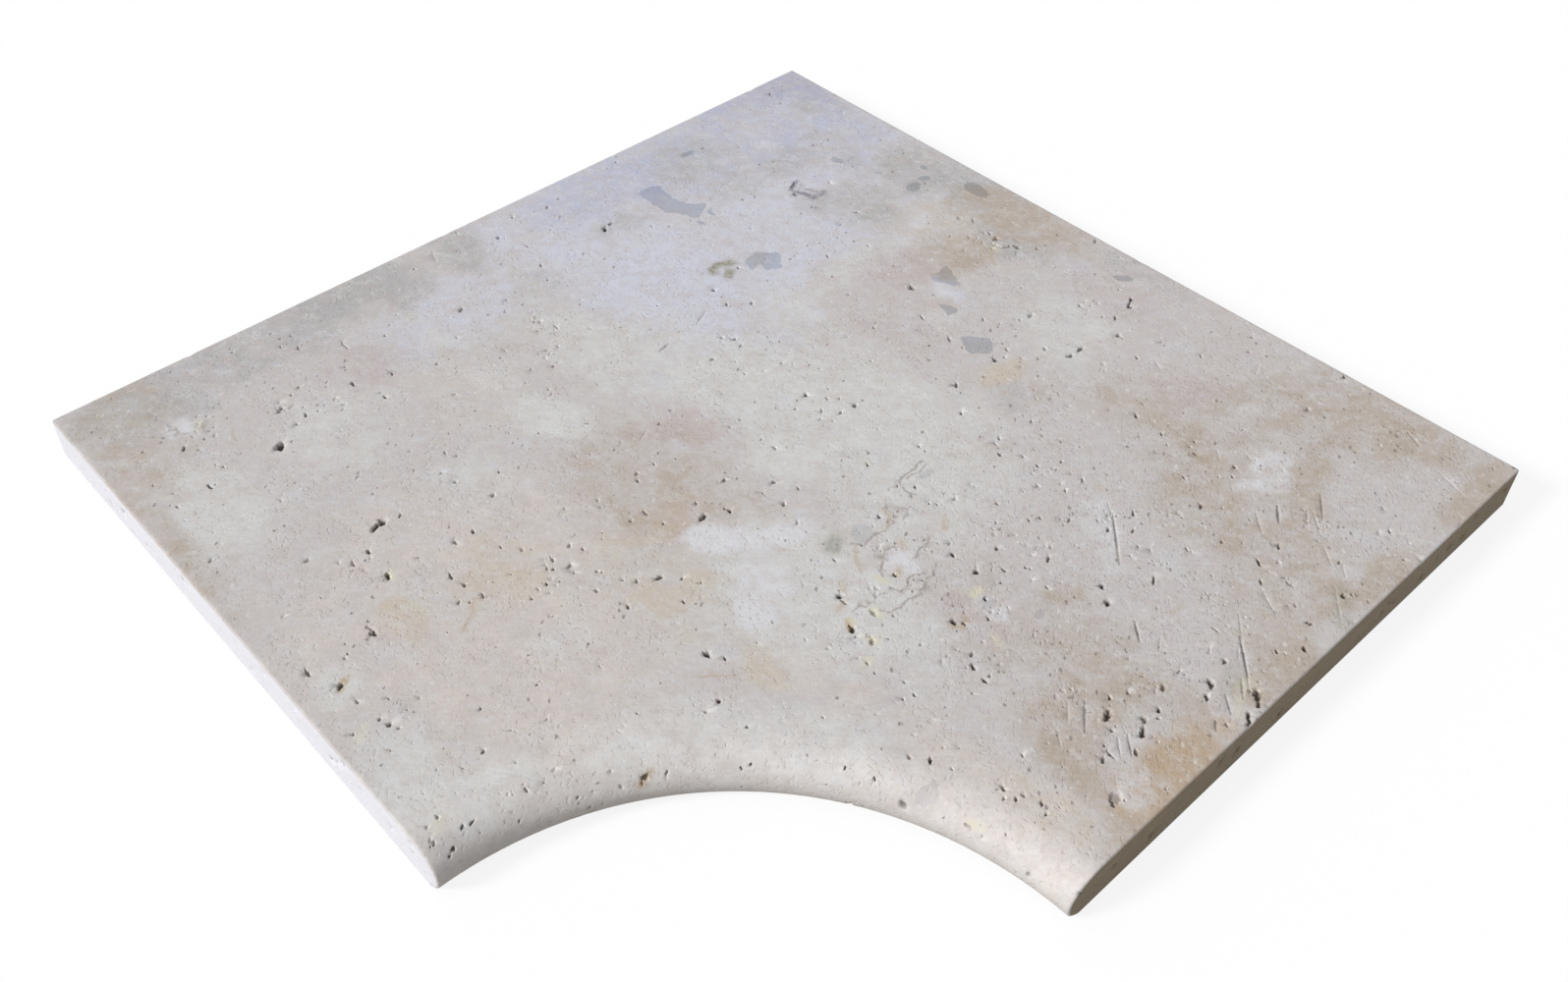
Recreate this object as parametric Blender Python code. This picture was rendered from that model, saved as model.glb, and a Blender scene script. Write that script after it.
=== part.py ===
# Inside corner stone for a pool coping: a square slab of honed travertine whose pool corner is a
# quarter round, with a bullnose turned along it. Metres, +Z up, origin at the centre of the bed.
# The pool corner points to +X -Y, and the two straight backs face -X and +Y.
import math

import bmesh
import bpy

# Driving sizes of the stone
SIDE = 0.610               # each back edge, and so the whole stone both ways
ARM = 0.405                # from a back edge to the nose, at each butt joint
THICKNESS = 0.028          # bed to tread
NOSE_HEIGHT = 0.012        # the nose's furthest line, above the bed
NOSE_TOP_RUN = 0.022       # how far back from the nose the tread starts to fall
NOSE_BASE_RUN = 0.011      # how far back from the nose the bed ends
EASING = 0.0012            # sawn arrises are rubbed off this far

# How finely the curves are cut into facets
ARC_STEPS = 64
NOSE_TOP_STEPS = 10
NOSE_BASE_STEPS = 7
EASING_STEPS = 2
EASED_ABOVE = math.radians(45)
SMOOTH_BELOW = math.radians(35)

# The stone's colour and finish
TRAVERTINE = (0.47, 0.41, 0.37, 1.0)
TRAVERTINE_ROUGHNESS = 0.62

# Places that follow from the sizes
HALF = SIDE / 2
POOL_RADIUS = SIDE - ARM
POOL_CENTRE = (HALF, -HALF)
JOINT_ANGLES = (math.radians(90), math.radians(180))


def clear_scene():
    """Remove every object that the opened file brought."""
    for thing in list(bpy.data.objects):
        bpy.data.objects.remove(thing, do_unlink=True)


def travertine():
    """The stone's own material."""
    material = bpy.data.materials.new("travertine")
    material.use_nodes = True
    shader = material.node_tree.nodes["Principled BSDF"]
    shader.inputs["Base Color"].default_value = TRAVERTINE
    shader.inputs["Roughness"].default_value = TRAVERTINE_ROUGHNESS
    shader.inputs["Metallic"].default_value = 0.0
    return material


def nose_profile():
    """Bullnose section from tread to bed, as (distance back from the nose, height)."""
    points = []
    top_drop = THICKNESS - NOSE_HEIGHT
    for step in range(NOSE_TOP_STEPS + 1):
        turn = math.pi / 2 * step / NOSE_TOP_STEPS
        back = NOSE_TOP_RUN * (1 - math.sin(turn))
        points.append((back, NOSE_HEIGHT + top_drop * math.cos(turn)))
    for step in range(1, NOSE_BASE_STEPS + 1):
        turn = math.pi / 2 * step / NOSE_BASE_STEPS
        back = NOSE_BASE_RUN * (1 - math.cos(turn))
        points.append((back, NOSE_HEIGHT * (1 - math.sin(turn))))
    return points


def turned_nose(shape):
    """Turn the bullnose section about the pool corner, one ring of vertices for each angle."""
    first, last = JOINT_ANGLES
    rings = []
    for step in range(ARC_STEPS + 1):
        angle = first + (last - first) * step / ARC_STEPS
        ring = []
        for back, height in nose_profile():
            reach = POOL_RADIUS + back
            x = POOL_CENTRE[0] + reach * math.cos(angle)
            y = POOL_CENTRE[1] + reach * math.sin(angle)
            ring.append(shape.verts.new((x, y, height)))
        rings.append(ring)
    for ring, following in zip(rings, rings[1:]):
        for upper in range(len(ring) - 1):
            corners = (ring[upper], following[upper], following[upper + 1], ring[upper + 1])
            shape.faces.new(corners)
    return rings


def slab_corners(shape, height):
    """The slab's three square corners, from the +X joint round the backs to the -Y joint."""
    places = ((HALF, HALF), (-HALF, HALF), (-HALF, -HALF))
    return [shape.verts.new((x, y, height)) for x, y in places]


def stone_mesh():
    """One closed body: the turned nose, the tread, the bed, two backs and two butt joints."""
    shape = bmesh.new()
    rings = turned_nose(shape)
    tread = slab_corners(shape, THICKNESS)
    bed = slab_corners(shape, 0.0)

    shape.faces.new(tread + [ring[0] for ring in reversed(rings)])
    shape.faces.new(bed + [ring[-1] for ring in reversed(rings)])
    for start in range(len(tread) - 1):
        shape.faces.new((tread[start], bed[start], bed[start + 1], tread[start + 1]))
    shape.faces.new([tread[0], bed[0]] + list(reversed(rings[0])))
    shape.faces.new([bed[-1], tread[-1]] + rings[-1])

    bmesh.ops.recalc_face_normals(shape, faces=shape.faces)
    mesh = bpy.data.meshes.new("coping_stone")
    shape.to_mesh(mesh)
    shape.free()
    return mesh


def coping_stone():
    """The stone as one object, with its sawn arrises eased."""
    mesh = stone_mesh()
    mesh.materials.append(travertine())
    mesh.shade_smooth()
    mesh.set_sharp_from_angle(angle=SMOOTH_BELOW)
    stone = bpy.data.objects.new("coping_stone", mesh)
    bpy.context.scene.collection.objects.link(stone)

    easing = stone.modifiers.new("eased_arrises", 'BEVEL')
    easing.width = EASING
    easing.segments = EASING_STEPS
    easing.limit_method = 'ANGLE'
    easing.angle_limit = EASED_ABOVE
    return stone


clear_scene()
coping_stone()
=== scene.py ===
# Looks of the pool coping stone: the open pits, gouges, clouds, calcite and stains of its travertine.
import math
import random

import bmesh
import bpy
import numpy as np
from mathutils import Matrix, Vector, geometry, noise


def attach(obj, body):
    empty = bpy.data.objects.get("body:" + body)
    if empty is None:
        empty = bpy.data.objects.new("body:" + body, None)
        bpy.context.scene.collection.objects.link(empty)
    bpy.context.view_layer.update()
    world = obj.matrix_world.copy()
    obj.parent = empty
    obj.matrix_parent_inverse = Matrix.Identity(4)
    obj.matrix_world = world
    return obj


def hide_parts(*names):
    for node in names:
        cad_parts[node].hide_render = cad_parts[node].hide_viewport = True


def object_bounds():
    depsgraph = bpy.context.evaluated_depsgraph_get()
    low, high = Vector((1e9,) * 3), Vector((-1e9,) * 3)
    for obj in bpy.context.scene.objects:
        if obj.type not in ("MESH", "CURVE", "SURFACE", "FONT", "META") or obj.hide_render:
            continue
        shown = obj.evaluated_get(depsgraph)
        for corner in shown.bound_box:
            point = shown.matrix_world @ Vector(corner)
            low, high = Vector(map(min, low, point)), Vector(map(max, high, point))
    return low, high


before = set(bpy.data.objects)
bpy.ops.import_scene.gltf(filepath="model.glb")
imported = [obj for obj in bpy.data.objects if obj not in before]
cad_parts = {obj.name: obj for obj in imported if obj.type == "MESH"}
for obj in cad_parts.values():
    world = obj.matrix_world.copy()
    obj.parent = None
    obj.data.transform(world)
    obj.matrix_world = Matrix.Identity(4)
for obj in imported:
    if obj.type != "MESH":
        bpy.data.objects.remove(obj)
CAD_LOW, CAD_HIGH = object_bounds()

# Places on the stone are in millimetres on a flat layout of its tread, measured from the back
# corner: u runs to the right corner and v to the left corner. Past the line where the tread starts
# to fall, the layout goes on along the bullnose, as if its skin were rolled out flat.
MM = 0.001
NODE = "coping_stone"
SIDE = (CAD_HIGH.x - CAD_LOW.x) / MM
THICKNESS = (CAD_HIGH.z - CAD_LOW.z) / MM
NODE_POINTS = np.array([vertex.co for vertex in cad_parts[NODE].data.vertices])
POOL_RADIUS = np.hypot(NODE_POINTS[:, 0] - CAD_HIGH.x, NODE_POINTS[:, 1] - CAD_LOW.y).min() / MM

# The bullnose and the rubbed arrises, as the solid has them. The rubbing fades out towards the
# bullnose's lower line
NOSE_HEIGHT = 12.0
NOSE_TOP_RUN = 22.0
NOSE_BASE_RUN = 11.0
EASING = 1.2
EASING_FADE = 8.0

# Spacing of the mesh's points
TREAD_SPACING = 4.2
NOSE_SPACING = 2.4
EDGE_SPACING = 2.5
NOSE_END_SPACING = 1.4
WALL_SPACING = 3.4
BED_SPACING = 9.0
GROOVE_SPACING = 1.1
CHIP_SPACING = 0.6
MARK_SPACING = 1.2
CALCITE_SPACING = 1.4
# Over a pit: the finest and the coarsest spacing, and the steps across it if they fit
FINEST = 0.45
COARSEST = 1.1
PIT_STEPS = 4.0
# How near a point may lie to those before it: a fine one, a wide one, and one of a row by an arris
FINE_GAP = FINEST * 0.8
WIDE_GAP = 1.5
ROW_GAP = 0.2
# How far other points keep from those rows, and how far rows and others keep from the bullnose's end
PAST_ROWS = 0.4
ROWS_PAST_NOSE_END = 0.8
PAST_NOSE_END = 1.0
# How far the bullnose's points go on over the tread
NOSE_OVERLAP = 1
# Rows of points beside an arris, by their distance from it
EASED_ROWS = (0.3, 0.7, 1.25)
# Steps in the bullnose's section, round a corner, along the bullnose and down a corner
SECTION_STEPS = 240
CORNER_STEPS = 3
NOSE_STEPS = 150
COLUMN_STEPS = 9
# A honeycomb's rows lie this share of its spacing apart, and its points are shaken by up to this share
HONEYCOMB = math.sqrt(3) / 2
SHAKE = 0.18
# How much longer and wider than a pit and a chip their fine points reach. The rim of an ellipse is
# at 0.5, and the points stop a little past it
PIT_SURROUND = 1.1
CHIP_SURROUND = (1.2, 2.6)
PAST_RIM = 0.53
# Rows of points along a gouge, a line or an edge, by their place across it in half widths, and the
# half widths that a vein and the edge of calcite have for this
LINE_ROWS = (-1.6, -0.9, -0.4, 0.0, 0.4, 0.9, 1.6)
VEIN_SURROUND = 0.7
CALCITE_SURROUND = 1.0
# What the triangulation needs: to keep what lies inside the outline, and its tolerance
INSIDE_ONLY = 1
TOLERANCE = 1e-6
# Below this height a point of the outline is on the bed already
ON_BED = 0.01
SHARP_ANGLE = 70

# Seeds of the random draws, and the slices that the smooth noise of the shapes is cut from. Blender
# draws that noise anew in each session unless it is given a seed
NOISE_SEED = 7
PLACED_SEED = 11
SCATTERED_SEED = 24
TREAD_SEED = 5
NOSE_SEED = 6
BED_SEED = 9
RAGGED_SLICE = 3.0
BED_SLICE = 7.0

# A pit's ragged rim: the size of its waves and their reach, as a share of the radius
RAGGED_SIZE = 1.9
PIT_RAGGED = 0.62
# The share of its radius that a pit's wall takes, and how much more on the right than in the middle
PIT_WALL = 0.5
PIT_LEAN = 0.5
# The darkening of its floor, partly dirt and partly painted shade: where it starts and its fade, from the
# rim at 0 to the floor at 1, and how it grows with the depth up to a wholly darkened pit
DARKENING_START = 0.25
DARKENING_FADE = 0.5
DARKENING_POWER = 1.4
DARKEST_DEPTH = 2.4
# The pale crystals that line it, partly a painted highlight, laid only on its right side, where the sun
# lights the far wall: their middle and reach, in radii, and how fast they set in to the right
LIT_RIM_MIDDLE = 1.05
LIT_RIM_REACH = 0.35
LIT_RIM_START = 2.2
# A gouge: how narrow and how blunt its ends are, how ragged it is, and how flat its floor is
GROOVE_TIP = 0.2
GROOVE_BLUNT = 0.05
GROOVE_RAGGED = 0.5
GROOVE_FLOOR = 1.3
# Gouges deeper than this are darkened, partly by dirt and partly by painted shade, and those twice as deep
# fully so
UNDARKENED_GROOVE = 0.5
GROOVE_DIRT_AND_SHADE = 0.6
# A chip: how ragged it is, and its depth for its reach
CHIP_RAGGED = 0.3
CHIP_DEPTH = 0.8
BED_UNEVEN = 0.06
BED_WAVE = 40

# Small pits: the shortest, the shallowest, their widths for their lengths, and their spread of turn
SHORTEST = 1.2
SHALLOWEST = 0.4
ROUNDNESS = (0.5, 0.9)
TURN_SPREAD = 30
# The longest, the usual turn and the deepest of the scattered pits, the dents and the sawn faces' pits
SCATTERED_PIT = (3.0, 42, 1.3)
DENT = (4.0, 50, 0.7)
SAWN_PIT = (5.0, 0, 1.3)
# Plain placed pits: their lengths, their widths for those, and their turn and its spread
PLAIN_LENGTHS = (2.2, 3.7)
PLAIN_ROUNDNESS = (0.45, 0.75)
PLAIN_TURN = (45, 25)
# Scattered pits keep this far from the arrises, and stay on this share of the bullnose
PIT_MARGIN = 4
PITTED_NOSE = 0.75
LEAST_PITTED = 0.12
KNOT_SPREAD = 5.0
# Pits in each mm along a sawn face, and the margin that they keep from its arrises
SAWN_PITS = 0.04
SAWN_MARGIN = 6.0

# Colours, each as it looks on a screen in plain white light
STONE = (196, 191, 189)
CLOUD_TONES = {
    "sand": (207, 198, 191),
    "lavender": (202, 204, 216),
    "azure": (183, 187, 206),
    "slate": (171, 170, 170),
    "rose": (189, 178, 177),
    "cream": (209, 209, 206),
    "tan": (198, 187, 171),
    "brown": (176, 163, 148),
    "rust": (182, 161, 137),
    "blue": (171, 173, 192),
}
CHALK_TONE = (214, 214, 217)
# The bullnose, and the tread beside it, are paler than the rest: partly cleaner, rubbed stone and partly a
# painted sheen of light
POLISH_AND_SHEEN_TONE = (227, 222, 217)
POLISH_AND_SHEEN_REACH = 34.0
MARK_TONES = {
    "ochre": (178, 156, 124),
    "straw": (210, 205, 184),
    "olive": (143, 140, 118),
    "ink": (120, 116, 125),
    "vein": (156, 147, 141),
}
# Floors of pits and deep gouges: partly dirt, partly painted shade
DIRT_AND_SHADE_TONE = (78, 65, 54)
# Pale crystals on the pits' sunlit right rims: partly a painted highlight
CRYSTAL_HIGHLIGHT_TONE = (230, 226, 221)
# Cottony washes over the clouds: tone, size, amount
WASHES = (
    ((206, 208, 217), 13.0, 0.42), ((206, 208, 201), 10.0, 0.42), ((188, 176, 170), 12.0, 0.42),
    ((178, 174, 174), 9.0, 0.30),
)
WARM_MOTTLE = (188, 175, 167)
COOL_MOTTLE = (210, 210, 210)
FLECK_TONE = (221, 217, 213)
SCRATCH_TONE = (217, 213, 209)
PINHOLE_TONE = (126, 116, 110)
STROKE_TONE = (156, 149, 143)
# Tints that darken the clouds' colour inside calcite
CALCITE_TINTS = {"calcite": (217, 220, 225), "pale_calcite": (236, 236, 238)}
# How strongly the flecks, the pinholes, the strokes and the polish with its painted sheen cover the stone
FLECK_COVER = 0.5
PINHOLE_COVER = 0.65
STROKE_COVER = 0.4
POLISH_AND_SHEEN_COVER = 0.5
STONE_ROUGHNESS = 0.62
CALCITE_ROUGHNESS = 0.42
SPECULAR = 0.35

# How the colours' masks end. A cloud is full within half of its ellipse and gone at one and a half
CLOUD_EDGE = 1.5
# How far from their outlines, in mm, chalk and calcite are worked out
CHALK_REACH = 9.0
CALCITE_REACH = 3.0
# A line is full within 0.4 of its half width and gone at twice its half width
LINE_CORE = 1.25
LINE_FADE = 1.6
# Half width and strength: of a vein in mm, and of a scratch's colour as a share of the gouge's width
VEIN_LINE = (0.5, 0.9)
SCRATCH_LINE = (0.3, 0.3)
# Waves that shift the masks: their reach, their size, and the slice of noise that they are cut from
DRIFT = ((5, 50, 1.0), (4, 20, 2.0), (2, 8, 4.0))
FRAYING = ((1.6, 5, 5.0),)
WIGGLE = ((1.6, 6, 8.0), (0.9, 2.5, 9.0))
# The shares of the drift and the fraying that some masks take
CHALK_DRIFT = 0.5
MARK_FRAYING = 0.6
SCRATCH_FRAYING = 0.3

# In the shader, turns are in degrees from x towards y, and a length is for a width of 1.
# The turn of the brushing, and the lengths of its strokes and of the washes along it
BRUSHING = 45
BRUSH_LENGTH = 6
WASH_LENGTH = 2
# The turn of the scoring, and the lengths of flecks, pinholes, strokes and dashes along it
SCORING = -48
FLECK_LENGTH = 1.9
PINHOLE_LENGTH = 1.6
STROKE_LENGTH = 7
DASH_LENGTH = 2.6
# The lengths of the level bands and of the saw lines on the sawn faces
BAND_LENGTH = 5
SAW_LENGTH = 40
# The sawn faces: colour, the turn of their bands, and how strongly they are banded
SAWN_FACES = {
    "back_y": ((194, 188, 181), 0, 0.9),
    # The right joint face's dark brown is partly dirt and partly painted shade, as it lies away from the sun
    "joint_x": ((129, 113, 87), 90, 1.0),
    # The left joint face's near white is partly the stone's pale tone and partly painted light, as it faces
    # the sun
    "joint_y": ((223, 223, 229), 0, 0.15),
    "back_x": ((194, 188, 181), 90, 0.9),
    "bed": ((186, 180, 170), SCORING, 1.0),
}
# How strongly noise tears the edges of the masks
TEARING = 1.9
# The fine relief of the shader: depths in mm, and the strengths of what stands up and what is sunk
TOOTH_DEPTH = 0.16
DENT_DEPTH = 0.34
DASH_DEPTH = 0.3
CUT_DEPTH = 0.45
TOOTH_STRENGTH = 0.6
SUNK_STRENGTH = 0.8

# The photograph's camera, from the stone's outline in it
EYE = (0.4776, -0.4569, 0.6538)
EYE_TURN = (47.089, 0, 47.795)
FOCAL_LENGTH = 35.592
SENSOR_WIDTH = 36.0
LENS_SHIFT = (0.0261, -0.0390)

# Daylight, and a floor that itself looks near white
SUN_STRENGTH = 2.9
SUN_COLOUR = (1.0, 0.985, 0.99)
SUN_SPREAD = 14.0
SUN_BEARING = 203.0
SUN_HEIGHT = 33.0
SKY_COLOUR = (0.955, 0.975, 1.0, 1)
SKY_STRENGTH = 0.5
FLOOR_BOUNCE = (0.35, 0.33, 0.3, 1)
FLOOR_SHADE = 0.15
FLOOR_SIDE = 12.0
FLOOR_GAP = 0.0002


def nose_curve():
    """Bullnose section from tread to bed: run along it, back from the nose, height, and normal."""
    turn = np.linspace(0, math.pi / 2, SECTION_STEPS)
    drop = THICKNESS - NOSE_HEIGHT
    back = [NOSE_TOP_RUN * (1 - np.sin(turn)), NOSE_BASE_RUN * (1 - np.cos(turn[1:]))]
    height = [NOSE_HEIGHT + drop * np.cos(turn), NOSE_HEIGHT * (1 - np.sin(turn[1:]))]
    outward = [np.sin(turn) / NOSE_TOP_RUN, np.cos(turn[1:]) / NOSE_BASE_RUN]
    upward = [np.cos(turn) / drop, -np.sin(turn[1:]) / NOSE_HEIGHT]
    back, height, outward, upward = map(np.concatenate, (back, height, outward, upward))
    length = np.hypot(outward, upward)
    run = np.concatenate([[0], np.cumsum(np.hypot(np.diff(back), np.diff(height)))])
    return run, back, height, outward / length, upward / length


NOSE_RUN, NOSE_BACK, NOSE_UP, NORMAL_OUT, NORMAL_UP = nose_curve()
ROLL_START = POOL_RADIUS + NOSE_TOP_RUN
ROLL_END = ROLL_START - NOSE_RUN[-1]


def surface(places):
    """Points and outward normals, on the smooth stone, of places on the layout, in mm."""
    to_pool = SIDE - places
    reach = np.hypot(to_pool[:, 0], to_pool[:, 1])
    to_pool = to_pool / reach[:, None]
    run = np.clip(ROLL_START - reach, 0, NOSE_RUN[-1])
    back = np.interp(run, NOSE_RUN, NOSE_BACK)
    true_reach = np.where(reach < ROLL_START, POOL_RADIUS + back, reach)
    spot = SIDE - to_pool * true_reach[:, None]
    height = np.interp(run, NOSE_RUN, NOSE_UP)
    outward = np.interp(run, NOSE_RUN, NORMAL_OUT)
    upward = np.interp(run, NOSE_RUN, NORMAL_UP)
    points = np.stack([spot[:, 0], -spot[:, 1], height], -1)
    normals = np.stack([to_pool[:, 0] * outward, -to_pool[:, 1] * outward, upward], -1)
    return points, normals


# Open pits by depth: u, v, length, width, and turn in degrees from u towards v
PITS = {
    0.9: (
        (16, 38, 6, 2.4, 45), (58, 443, 9, 1.8, 0), (40, 466, 5, 1.5, 20), (118, 111, 8, 2, 65),
        (127, 117, 4, 3, 60), (270, 43, 7, 2.2, -20), (233, 48, 5, 2.2, 45), (225, 53, 4, 3, 0),
        (22, 257, 5, 2, 50), (132, 333, 5, 1.8, 0), (167, 594, 4.4, 2, 80), (303, 263, 6, 1.8, 45),
        (509, 449, 8, 2, 65), (428, 287, 5, 1.2, 70),
    ),
    1.3: (
        (251, 51, 6, 2.6, 20), (305, 4, 5, 2.8, 60), (343, 68, 4, 2.8, 10), (328, 99, 5, 2.6, 80),
        (309, 156, 5, 2.6, 45), (283, 153, 5, 2.2, 30), (571, 174, 5, 2.2, -10), (562, 230, 5, 1.8, 0),
        (461, 225, 5, 1.8, 80), (419, 360, 5, 2.2, 0), (435, 354, 5, 3, 20), (448, 368, 4.4, 2.4, 60),
        (188, 237, 5, 1.8, 35), (77, 368, 6, 2.6, 58), (84, 504, 7.4, 3, 60), (202, 555, 4, 2.8, 80),
        (223, 280, 4, 2.8, 80), (298, 396, 6, 1.8, 0), (287, 499, 4.4, 1.6, 30), (221, 538, 5, 1.9, 5),
        (552, 412, 4.4, 2, 5), (591, 350.5, 9, 7, 60),
    ),
    1.8: (
        (258, 52, 5, 4, 80), (264, 58, 8, 2.6, -10), (269, 54, 8, 2.6, 110), (363, 42, 6, 2, 62),
        (366, 61, 5, 2, 60), (257, 135, 6, 5, 0), (342, 186, 6, 2.2, 50), (497, 3, 4.4, 2.4, 60),
        (433, 127, 4.4, 2.4, 50), (504, 161, 4.6, 2, 62), (551, 155, 5, 2, 55), (559, 184, 4.6, 2.2, 50),
        (480, 214, 4.4, 2.2, 60), (520, 226, 7, 2, 55), (472, 256, 4.6, 2, 60), (488, 336, 4.6, 2.2, 70),
        (567, 281, 4.6, 3, 60), (573, 304, 5, 3.4, 50), (574, 338, 4.4, 2.2, 60), (570, 379, 5, 1.7, 50),
        (552, 386, 4, 2.8, 20), (67, 237, 4.4, 2.4, 80), (171, 233, 5, 3, 75), (28, 304, 4, 3, 20),
        (93, 459, 5.6, 2, 10), (98, 495, 5, 1.9, 25), (76, 563, 4.6, 2, 25), (115, 567, 5.4, 2.2, 0),
        (313, 245, 5, 2.6, 75), (340, 421, 5.4, 2.4, 85), (264, 504, 5, 1.8, 15), (270, 595, 6, 2, 5),
        (431, 506, 4.6, 2.8, 80), (524, 426, 6, 4.4, 50), (592, 354, 6.4, 2.6, 30), (582, 323, 6, 2, 50),
    ),
    2.4: (
        (273, 49, 7, 3.4, -10), (361, 38, 5, 2.4, 60), (365, 45, 5, 3.6, 60), (379, 74, 4, 3.4, 30),
        (371, 102, 8, 2.4, 92), (371, 112, 5, 2.6, 88), (400, 213, 3.2, 2.4, 20), (550, 173, 6.6, 2.2, 38),
        (593, 190, 5.4, 2.6, -15), (482, 194, 4.6, 2.2, 50), (592, 219, 3.2, 2, 60),
        (504, 250, 4.6, 2.8, 45), (585, 270, 4.6, 3, 60), (435, 292, 4, 2.6, 20), (452, 292, 4.2, 3.2, 80),
        (468, 303, 3, 2.4, 20), (467, 327, 5, 3, 30), (494, 342, 5, 2.6, 25), (504, 344, 4.2, 2.4, 0),
        (574, 294, 4, 2, 60), (577, 311, 9, 2.8, 58), (574, 333, 5, 1.8, 10), (611, 401, 5, 3.4, 60),
        (607, 265, 9, 3, 50), (435, 370, 5.6, 3.6, 35), (424, 326, 3.4, 2.6, 20), (388, 301, 4, 2.2, 0),
        (69, 243, 7.4, 3.2, 45), (286, 260, 4.4, 3, 10), (328, 326, 2.8, 2.2, 0), (328, 360, 4.4, 2.6, 10),
        (322, 374, 7, 3.6, 80), (245, 476, 3.2, 2.8, 0), (219, 527, 3.2, 2.8, 0), (241, 529, 6.4, 3, 15),
        (288, 587, 5.6, 3, 45), (402, 597, 3.4, 2.4, 45), (423, 452, 3.2, 2.4, 0), (518, 400, 5.4, 2.2, 50),
        (205.5, 514.5, 8, 3.2, 68), (581.5, 261, 7, 3.4, 45), (605, 254, 6, 2.6, 65), (559, 316, 8, 4, 55),
        (414.5, 358.5, 5, 4, 70),
    ),
    3.4: (
        (342, 150, 4.2, 3.4, 20), (601, 207, 4.6, 2.6, 55), (513, 257, 5, 3.6, 30), (397, 437, 5.6, 3, 10),
        (270, 556, 4.4, 3.6, -20), (205, 509, 7, 5, 75), (601, 249, 8, 5.4, 55),
        (594.5, 160.5, 4.2, 3.4, 50), (112, 520, 7.4, 6.6, 40),
    ),
}
# Small open pits by depth: u, v
PLAIN_PITS = {
    1.3: (
        (172, 101), (195, 152), (10, 186), (370, 3), (382, 74), (356, 119), (310, 125), (320, 156),
        (305, 170), (394, 177), (393, 208), (437, 13), (499, 46), (545, 42), (470, 120), (484, 149),
        (528, 175), (581, 185), (580, 141), (446, 194), (430, 198), (410, 204), (499, 212), (449, 235),
        (446, 241), (466, 288), (466, 351), (557, 297), (484, 383), (456, 380), (463, 382), (403, 270),
        (364, 243), (556, 390), (561, 382), (88, 217), (198, 224), (73, 301), (162, 358), (101, 436),
        (73, 485), (102, 503), (225, 258), (255, 251), (297, 253), (308, 306), (276, 355), (325, 361),
        (311, 370), (270, 380), (275, 383), (311, 394), (297, 406), (334, 432), (349, 413), (325, 452),
        (289, 443), (296, 439), (291, 456), (301, 452), (306, 481), (216, 438), (229, 451), (245, 488),
        (206, 461), (286, 507), (318, 598), (302, 586), (347, 543), (354, 513), (385, 594), (282, 511),
        (395, 603), (400, 554), (436, 497), (510, 406), (587, 411), (418, 537), (410, 565), (444, 26),
    ),
    1.8: (
        (400, 83), (361, 203), (391, 203), (490, 38), (453, 129), (461, 134), (476, 128), (498, 120),
        (502, 128), (502, 176), (586, 100), (428, 191), (421, 204), (490, 205), (578, 244), (448, 271),
        (468, 270), (461, 280), (478, 312), (472, 324), (577, 298), (553, 306), (566, 321), (569, 331),
        (486, 377), (385, 269), (354, 276), (575, 382), (560, 386), (116, 451), (207, 499), (218, 257),
        (312, 256), (341, 319), (345, 334), (308, 346), (362, 423), (405, 432), (345, 447), (297, 460),
        (303, 469), (274, 502), (319, 584), (325, 582), (369, 557), (397, 583), (396, 588), (404, 600),
        (444, 452), (460, 464), (458, 469), (506, 426), (492, 432), (427, 536), (431, 543),
    ),
}

# Gouges and scratches: from u, v to u, v, then width and depth
GROOVES = (
    (544, 103, 557, 121, 1.7, 0.9), (545, 119, 553, 130, 1.9, 0.8), (532, 128, 541, 140, 2.2, 1.1),
    (527, 142, 541, 155, 1.8, 0.7), (549, 118, 561, 130, 1.6, 0.6), (549, 19, 561, 25, 2.0, 0.8),
    (455, 32, 459, 42, 2.4, 0.6), (495, 106, 505, 109, 1.4, 0.5), (482, 115, 490, 123, 1.3, 0.5),
    (466, 197, 483, 211, 1.4, 0.6), (471, 199, 501, 231, 2.2, 0.9), (562, 188, 579, 199, 1.5, 0.6),
    (564, 212, 600, 254, 1.3, 0.7), (573, 224, 592, 244, 2.1, 1.0), (577, 231, 582, 238, 1.2, 0.6),
    (590, 261, 600, 270, 1.6, 0.9), (590, 247, 598, 257, 1.5, 0.8), (596, 278, 601, 284, 1.7, 0.9),
    (530, 256, 541, 266, 1.9, 1.0), (546, 255, 551, 263, 1.4, 0.6), (545, 316, 558, 332, 1.7, 0.9),
    (540, 323, 549, 334, 1.2, 0.5), (572, 317, 582, 326, 1.6, 0.9), (570, 322, 578, 330, 1.3, 0.7),
    (548, 341, 556, 348, 1.2, 0.6), (184, 251, 191, 266, 1.2, 0.6), (193, 290, 195, 300, 1.5, 0.9),
    (10, 346, 24, 351, 1.4, 0.5), (246, 352, 250, 361, 1.5, 0.6), (408, 76, 418, 82, 1.3, 0.5),
    (567, 136, 578, 146, 1.7, 0.6), (580, 138, 588, 148, 1.4, 0.5), (576, 35, 600, 44, 1.6, 0.5),
    (505, 446, 511, 454, 1.6, 0.8), (588, 158, 606, 180, 1.4, 0.5),
)

# Chips broken off the arrises: u, v on the arris, length, and half width. Most lie along their arris,
# and those at u = 610 lie across it
CHIPS = (
    (610, 66, 5, 1.2), (610, 106, 12, 1.6), (610, 172, 9, 1.4), (610, 219, 5, 1.2),
    (610, 269, 6, 2.2), (610, 252, 5, 1.8), (610, 300, 8, 1.0), (610, 357, 7, 1.2),
    (0, 45, 7, 1.4), (0, 180, 5, 0.9), (0, 330, 8, 1.1), (60, 0, 6, 1.0), (340, 0, 9, 1.2),
    (470, 0, 5, 1.0), (250, 610, 7, 1.0), (120, 610, 5, 0.8), (330, 610, 6, 0.9), (0, 520, 9, 1.3),
)

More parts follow.
